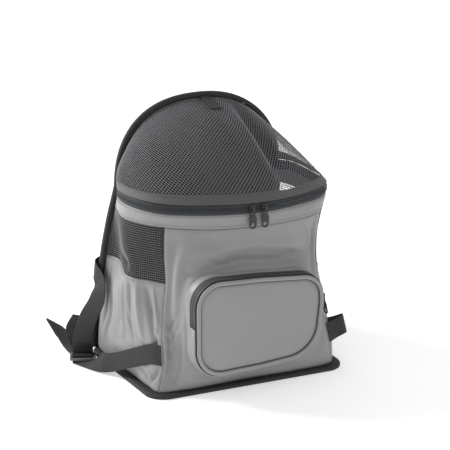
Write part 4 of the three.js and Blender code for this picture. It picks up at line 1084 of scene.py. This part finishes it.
# Straps
strap = {"width": 31.0, "thick": 1.6, "bar": 3.5, "slot": 8.0, "buckleThick": 4.0,
         "buckleOut": 1.15, "buckleBack": 0.678, "buckleHeading": 205}
lowerRoutes = {
    "left": [[1.000, -0.30, 0.060, 3, 180], [1.080, 0.00, 0.018, 6, 180], [1.145, 0.17, 0.004, 14, 180],
             [1.190, 0.31, 0.002, 36, 184], [1.235, 0.47, 0.002, 66, 194]],
    "right": [[0.955, -0.87, 0.106, 6, 180], [1.055, -0.86, 0.118, 14, 180], [1.095, -0.76, 0.110, 13, 180],
              [1.105, -0.50, 0.072, 9, 180], [1.115, -0.12, 0.022, 8, 180], [1.145, 0.15, 0.004, 14, 180],
              [1.190, 0.31, 0.002, 36, 184], [1.235, 0.47, 0.002, 66, 194]],
}
shoulderRoute = [
    [0.40, 0.00, 0.750, 90, 180], [0.52, 0.00, 0.620, 90, 180], [0.68, 0.00, 0.500, 82, 180],
    [0.76, 0.00, 0.420, 60, 180], [0.92, 0.83, 0.318, 10, 258], [0.975, 0.82, 0.306, 10, 264],
    [0.988, 0.76, 0.293, 13, 262], [0.998, 0.735, 0.278, 40, 250], [1.03, 0.72, 0.262, 70, 250],
    [1.07, 0.71, 0.235, 88, 244], [1.14, 0.73, 0.190, 92, 234], [1.20, 0.75, 0.130, 92, 226],
    [1.22, 0.78, 0.075, 91, 219],
]
loopRoute = [[1.235, 0.89, 0.065, 90, 208], [1.240, 0.92, 0.115, 92, 213], [1.165, 0.93, 0.160, 94, 222]]
tailRoute = [[1.205, 0.99, 0.006, 92, 203], [1.210, 1.14, 0.016, 98, 200], [1.225, 1.33, 0.048, 110, 195],
             [1.250, 1.52, 0.090, 124, 190]]
strapSeams = {"left": (44, [3.96, 3.58]), "right": (41, [3.97])}


def ribbonPiece(name, places, ways, shift=0.0, thick=None):
    # Webbing with rounded edges along places, each with the way across to the other edge
    thick = thick or strap["thick"]
    along = np.gradient(places + ways / 2, axis=0)
    face = unit(np.cross(along, ways))
    across = unit(ways)
    half = thick / 2
    profile = [(0.0, -half * 0.4), (0.5, -half * 0.9), (2.0, -half), (15.5, -half * 0.94), (29.0, -half),
               (30.5, -half * 0.9), (31.0, -half * 0.4), (31.0, half * 0.4), (30.5, half * 0.9), (29.0, half),
               (15.5, half * 0.94), (2.0, half), (0.5, half * 0.9), (0.0, half * 0.4)]
    rings = [places + across * w + face * (h + shift) for w, h in profile]
    return sweepPiece(name, np.stack(rings, 1)), face


def runThrough(edges, steps):
    places = catmull(np.array([e[0] for e in edges]), np.linspace(0, 1, steps + 1))
    ways = catmull(np.array([e[1] for e in edges]), np.linspace(0, 1, steps + 1))
    return places, unit(ways) * strap["width"]


def strapSide(side, sign):
    def way(lean, heading):
        a, h = math.radians(lean), math.radians(heading)
        return np.array([sign * math.sin(a) * math.cos(h), math.sin(a) * math.sin(h), math.cos(a)]) * strap["width"]

    def edgeOf(row):
        out, back, low, lean, heading = row
        place = np.array([sign * out * bag["halfWidth"], back * bag["halfDepth"], low * bag["height"] + 0.8])
        return place, way(lean, heading)

    bar = unit(way(90, strap["buckleHeading"]))
    travel = np.cross([0, 0, 1.0], bar) * -sign
    lift = 2 * strap["thick"] + 3 * bag["gap"]
    centre = np.array([sign * strap["buckleOut"] * bag["halfWidth"], strap["buckleBack"] * bag["halfDepth"], 0])
    pitch = strap["bar"] + strap["slot"]

    def inBuckle(along, z):
        place = centre + travel * along - bar * strap["width"] / 2
        place[2] = z
        return place, bar * strap["width"]

    half = strap["thick"] / 2
    low, high = half + 0.05, lift + strap["buckleThick"] + half + bag["gap"]
    clear = strap["bar"] / 2 + bag["gap"] + half
    weavePath = [
        (-pitch - 2, low + 0.5), (-pitch + 1, low + 0.9), (-clear - 2.4, low + 2.2), (-clear, lift + 0.5),
        (-clear, high - 0.9), (-1.6, high + 0.4), (1.6, high + 0.4), (clear, high - 0.9),
        (clear, lift + 0.5), (clear + 1.2, low + 1.4), (clear + 3.6, low), (pitch + 4, low),
    ]
    seamLow, stationsAt = strapSeams[side]
    sewn = []
    for at in stationsAt:
        u = at if sign < 0 else 12 - at
        out = outward(wallAt, np.array(u), np.array(seamLow + strap["width"] / 2)) * (bag["gap"] + half + 0.1)
        place = wallAt(np.array(u), np.array(float(seamLow))) + out
        top = wallAt(np.array(u), np.array(seamLow + strap["width"])) + out
        sewn.append((place, top - place))
    arrive = runThrough(sewn + [edgeOf(r) for r in lowerRoutes[side]] + [inBuckle(*weavePath[0])], 104)
    through = runThrough([inBuckle(*p) for p in weavePath], 66)
    leave = runThrough([inBuckle(*weavePath[-1])] + [edgeOf(r) for r in tailRoute], 40)
    places = np.concatenate([arrive[0][:-1], through[0], leave[0][1:]])
    ways = np.concatenate([arrive[1][:-1], through[1], leave[1][1:]])
    ribbon, face = ribbonPiece(f"lower-strap-{side}", places, ways)
    end = ribbonPiece(f"tail-fold-{side}", places[-13:], ways[-13:], shift=strap["thick"] * 0.95)[0]
    settle(joinPieces([ribbon, end], f"lower-strap-{side}"), "webbing", [f"lower_strap_{side}"])

    onBack = []
    for row in shoulderRoute[:4]:
        place, across = edgeOf(row)
        place[1] = float(backY(place[2])) + bag["backWall"] + 1.4 + bag["gap"] + half + 1.4
        onBack.append((place, across))
    turn = strap["bar"] / 2 + bag["gap"] + half
    top = lift + strap["buckleThick"]
    loop = [
        (pitch - turn, top), (pitch - turn, lift), (pitch - turn + 1, lift - half - bag["gap"]),
        (pitch + turn - 1, lift - half - bag["gap"]), (pitch + turn, lift), (pitch + turn, top),
    ]
    down = runThrough(
        onBack + [edgeOf(r) for r in shoulderRoute[4:]] + [inBuckle(pitch - turn, top + 9)], 150)
    under = runThrough([inBuckle(*p) for p in loop], 30)
    back = runThrough([inBuckle(pitch + turn, top + 6)] + [edgeOf(r) for r in loopRoute], 30)
    places = np.concatenate([down[0], under[0], back[0]])
    ways = np.concatenate([down[1], under[1], back[1]])
    shoulder, face = ribbonPiece(f"shoulder-strap-{side}", places, ways)
    settle(shoulder, "webbing", [f"shoulder_strap_{side}"])
    # Box stitching where the strap is sewn to the back
    start, across = places[2], unit(ways[2])
    along = unit(places[14] - places[2])
    out = np.array([0, 1.0, 0])
    corners = [(4, 2), (27, 2), (27, 26), (4, 26), (4, 2), (27, 26), (27, 2), (4, 26)]
    line = np.array([start + across * a + along * b for a, b in corners])
    dense = np.concatenate([np.linspace(p, q, 12) for p, q in zip(line, line[1:])])
    dense[:, 1] = np.interp(dense[:, 2], [places[30][2], places[0][2]], [places[30][1], places[0][1]]) + 0.8
    normals = np.broadcast_to(out, dense.shape)
    return stitchLine(dense, normals, pitch=3.0, long=2.2)


strapStitches = strapSide("left", -1) + strapSide("right", 1)
print("straps made")


# Hard parts from their solids
def fromSolid(node, name, bevel, segments, finish, body):
    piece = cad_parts[node].copy()
    piece.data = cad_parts[node].data.copy()
    piece.name = name
    bpy.context.scene.collection.objects.link(piece)
    piece.parent = None
    for key in list(piece.keys()):
        del piece[key]
    activate(piece)
    bpy.ops.object.mode_set(mode="EDIT")
    bpy.ops.mesh.select_all(action="SELECT")
    bpy.ops.mesh.remove_doubles(threshold=0.00002)
    bpy.ops.mesh.dissolve_limited(angle_limit=math.radians(2))
    bpy.ops.object.mode_set(mode="OBJECT")
    edges = piece.modifiers.new("rounded", "BEVEL")
    edges.width = bevel
    edges.segments = segments
    edges.limit_method = "ANGLE"
    edges.angle_limit = math.radians(28)
    bpy.ops.object.modifier_apply(modifier=edges.name)
    bpy.ops.object.shade_smooth_by_angle(angle=math.radians(40))
    return settle(piece, finish, [node], body)


for side in ("left", "right"):
    fromSolid(f"buckle_{side}", f"buckle-{side}", 0.0009, 3, "buckle", "bag")
    fromSolid(f"rim_slider_{side}", f"rim-slider-{side}", 0.0004, 2, "enamel", "bag")
    fromSolid(f"rim_pull_{side}", f"rim-pull-{side}", 0.0004, 2, "enamel", f"rim_pull_{side}")
fromSolid("pocket_slider", "pocket-slider", 0.0004, 2, "enamel", "bag")
pocketPull = fromSolid("pocket_pull", "pocket-pull", 0.0004, 2, "enamel", "pocket_pull")
hang = {"pivot": (0.1095, -0.13965, 0.1274), "lean": -11}  # the loose pull leans away from the bag
toPivot = Matrix.Translation(hang["pivot"])
pocketPull.data.transform(toPivot @ Matrix.Rotation(math.radians(hang["lean"]), 4, "Y") @ toPivot.inverted())


# Top tab and stitching
def topTab():
    ts = np.linspace(0.3, 0.7, 81)
    middle = ts[np.argmin(np.abs(archPoint(ts)[:, 0] - 15))]
    length = np.linalg.norm(evenRim(middle) - archPoint(middle))
    t = np.linspace(middle - 0.019, middle + 0.019, 13)[None, :]
    s = np.linspace(1 - 38 / length, 1, 30)[:, None]
    t, s = np.broadcast_arrays(t, s)
    shape = lidAt(t, s) + lidOut(t, np.minimum(s, 0.97)) * 2.1
    return settle(sheetPiece("top-tab", shape, 1.6), "webbing", ["top_tab"])


topTab()
rimUs = np.linspace(0.15, 11.85, 600)
lines = []
for z, lift in ((252.2, 0.2), (267.4, 0.2)):
    line, out = wallLine(rimUs, np.full_like(rimUs, z), lift)
    lines += stitchLine(line, out)
for u in (3.93, 8.07):
    zs = np.linspace(12, 244, 80)
    line, out = wallLine(np.full_like(zs, u), zs, 0.1)
for u0, u1 in ((0.1, 3.95), (8.05, 11.9)):
    us = np.linspace(u0, u1, 160)
    line, out = wallLine(us, np.full_like(us, 161.5), 0.15)
    lines += stitchLine(line, out)
stitchPiece("cloth-stitching", lines)
lines = []
for z in (bag["rim"] + 2.6, bag["zipTop"] - 2.4):
    line, out = wallLine(rimUs, np.full_like(rimUs, z), 0.15)
    lines += stitchLine(line, out, pitch=3.0, long=2.1)
t = np.linspace(0.01, 0.99, 500)
s = 0.8 * np.interp(t, rimT, bandShare)
lines += stitchLine(lidAt(t, s), lidOut(t, s))
_, x, z, outX, outZ, base = bindingSweep()
line = np.stack([x + outX * 1.6, base - 1.45, z + outZ * 1.6], -1)
lines += stitchLine(line, np.broadcast_to(np.array([0, -1.0, 0]), line.shape))
line = line + np.array([0, bag["backWall"] + 2.9, 0])
lines += stitchLine(line, np.broadcast_to(np.array([0, 1.0, 0]), line.shape))
ring = baseOutline(10.6)
line = np.concatenate([ring, ring[:1]])
line = np.concatenate([line, np.full((len(line), 1), 6.15)], 1)
lines += stitchLine(line, np.broadcast_to(np.array([0, 0, 1.0]), line.shape))
lines += strapStitches
stitchPiece("edge-stitching", lines, "darkThreadAndGrooveShade")
print("stitching made")


# Floor, light and camera
studio = {"world": 0.6, "key": 41.0, "fill": 3.0, "back": 5.0, "floor": 0.85, "glow": 0.42}


def makeFloor():
    deselectAll()
    bpy.ops.mesh.primitive_plane_add(size=14, location=(0, 0, 0))
    floor = bpy.context.object
    floor.name = "floor"
    paint = bpy.data.materials.new("paleFloor")
    paint.use_nodes = True
    shader = paint.node_tree.nodes["Principled BSDF"]
    shader.inputs["Base Color"].default_value = (studio["floor"],) * 3 + (1,)
    shader.inputs["Roughness"].default_value = 0.9
    shader.inputs["Emission Color"].default_value = (1, 1, 1, 1)
    shader.inputs["Emission Strength"].default_value = studio["glow"]
    floor.data.materials.append(paint)


def addLight(name, place, target, size, power):
    data = bpy.data.lights.new(name, "AREA")
    data.energy = power
    data.size = size
    light = bpy.data.objects.new(name, data)
    bpy.context.scene.collection.objects.link(light)
    light.location = place
    light.rotation_euler = (Vector(target) - Vector(place)).to_track_quat("-Z", "Y").to_euler()


makeFloor()
world = bpy.data.worlds.new("studio")
world.use_nodes = True
world.node_tree.nodes["Background"].inputs["Color"].default_value = (1, 1, 1, 1)
world.node_tree.nodes["Background"].inputs["Strength"].default_value = studio["world"]
bpy.context.scene.world = world
addLight("key", (-1.4, 1.35, 1.3), (0, 0, 0.2), 0.7, studio["key"])
addLight("fill", (0.9, -1.9, 1.1), (0, 0, 0.2), 1.6, studio["fill"])
addLight("back", (0.3, 1.4, 1.6), (0, 0, 0.2), 1.4, studio["back"])

view = {"azimuth": -26.655, "elevation": 18.574, "distance": 4.0, "target": (0.0166, 0, 0.2116), "lens": 213.06}
lens = bpy.data.cameras.new("camera")
lens.lens = view["lens"]
lens.sensor_width = 36
lens.clip_start, lens.clip_end = 0.1, 50
camera = bpy.data.objects.new("camera", lens)
bpy.context.scene.collection.objects.link(camera)
a, e = math.radians(view["azimuth"]), math.radians(view["elevation"])
away = Vector((math.sin(a) * math.cos(e), -math.cos(a) * math.cos(e), math.sin(e)))
camera.location = Vector(view["target"]) + away * view["distance"]
camera.rotation_euler = (-away).to_track_quat("-Z", "Y").to_euler()
bpy.context.scene.camera = camera
bpy.context.scene.view_settings.view_transform = "Standard"
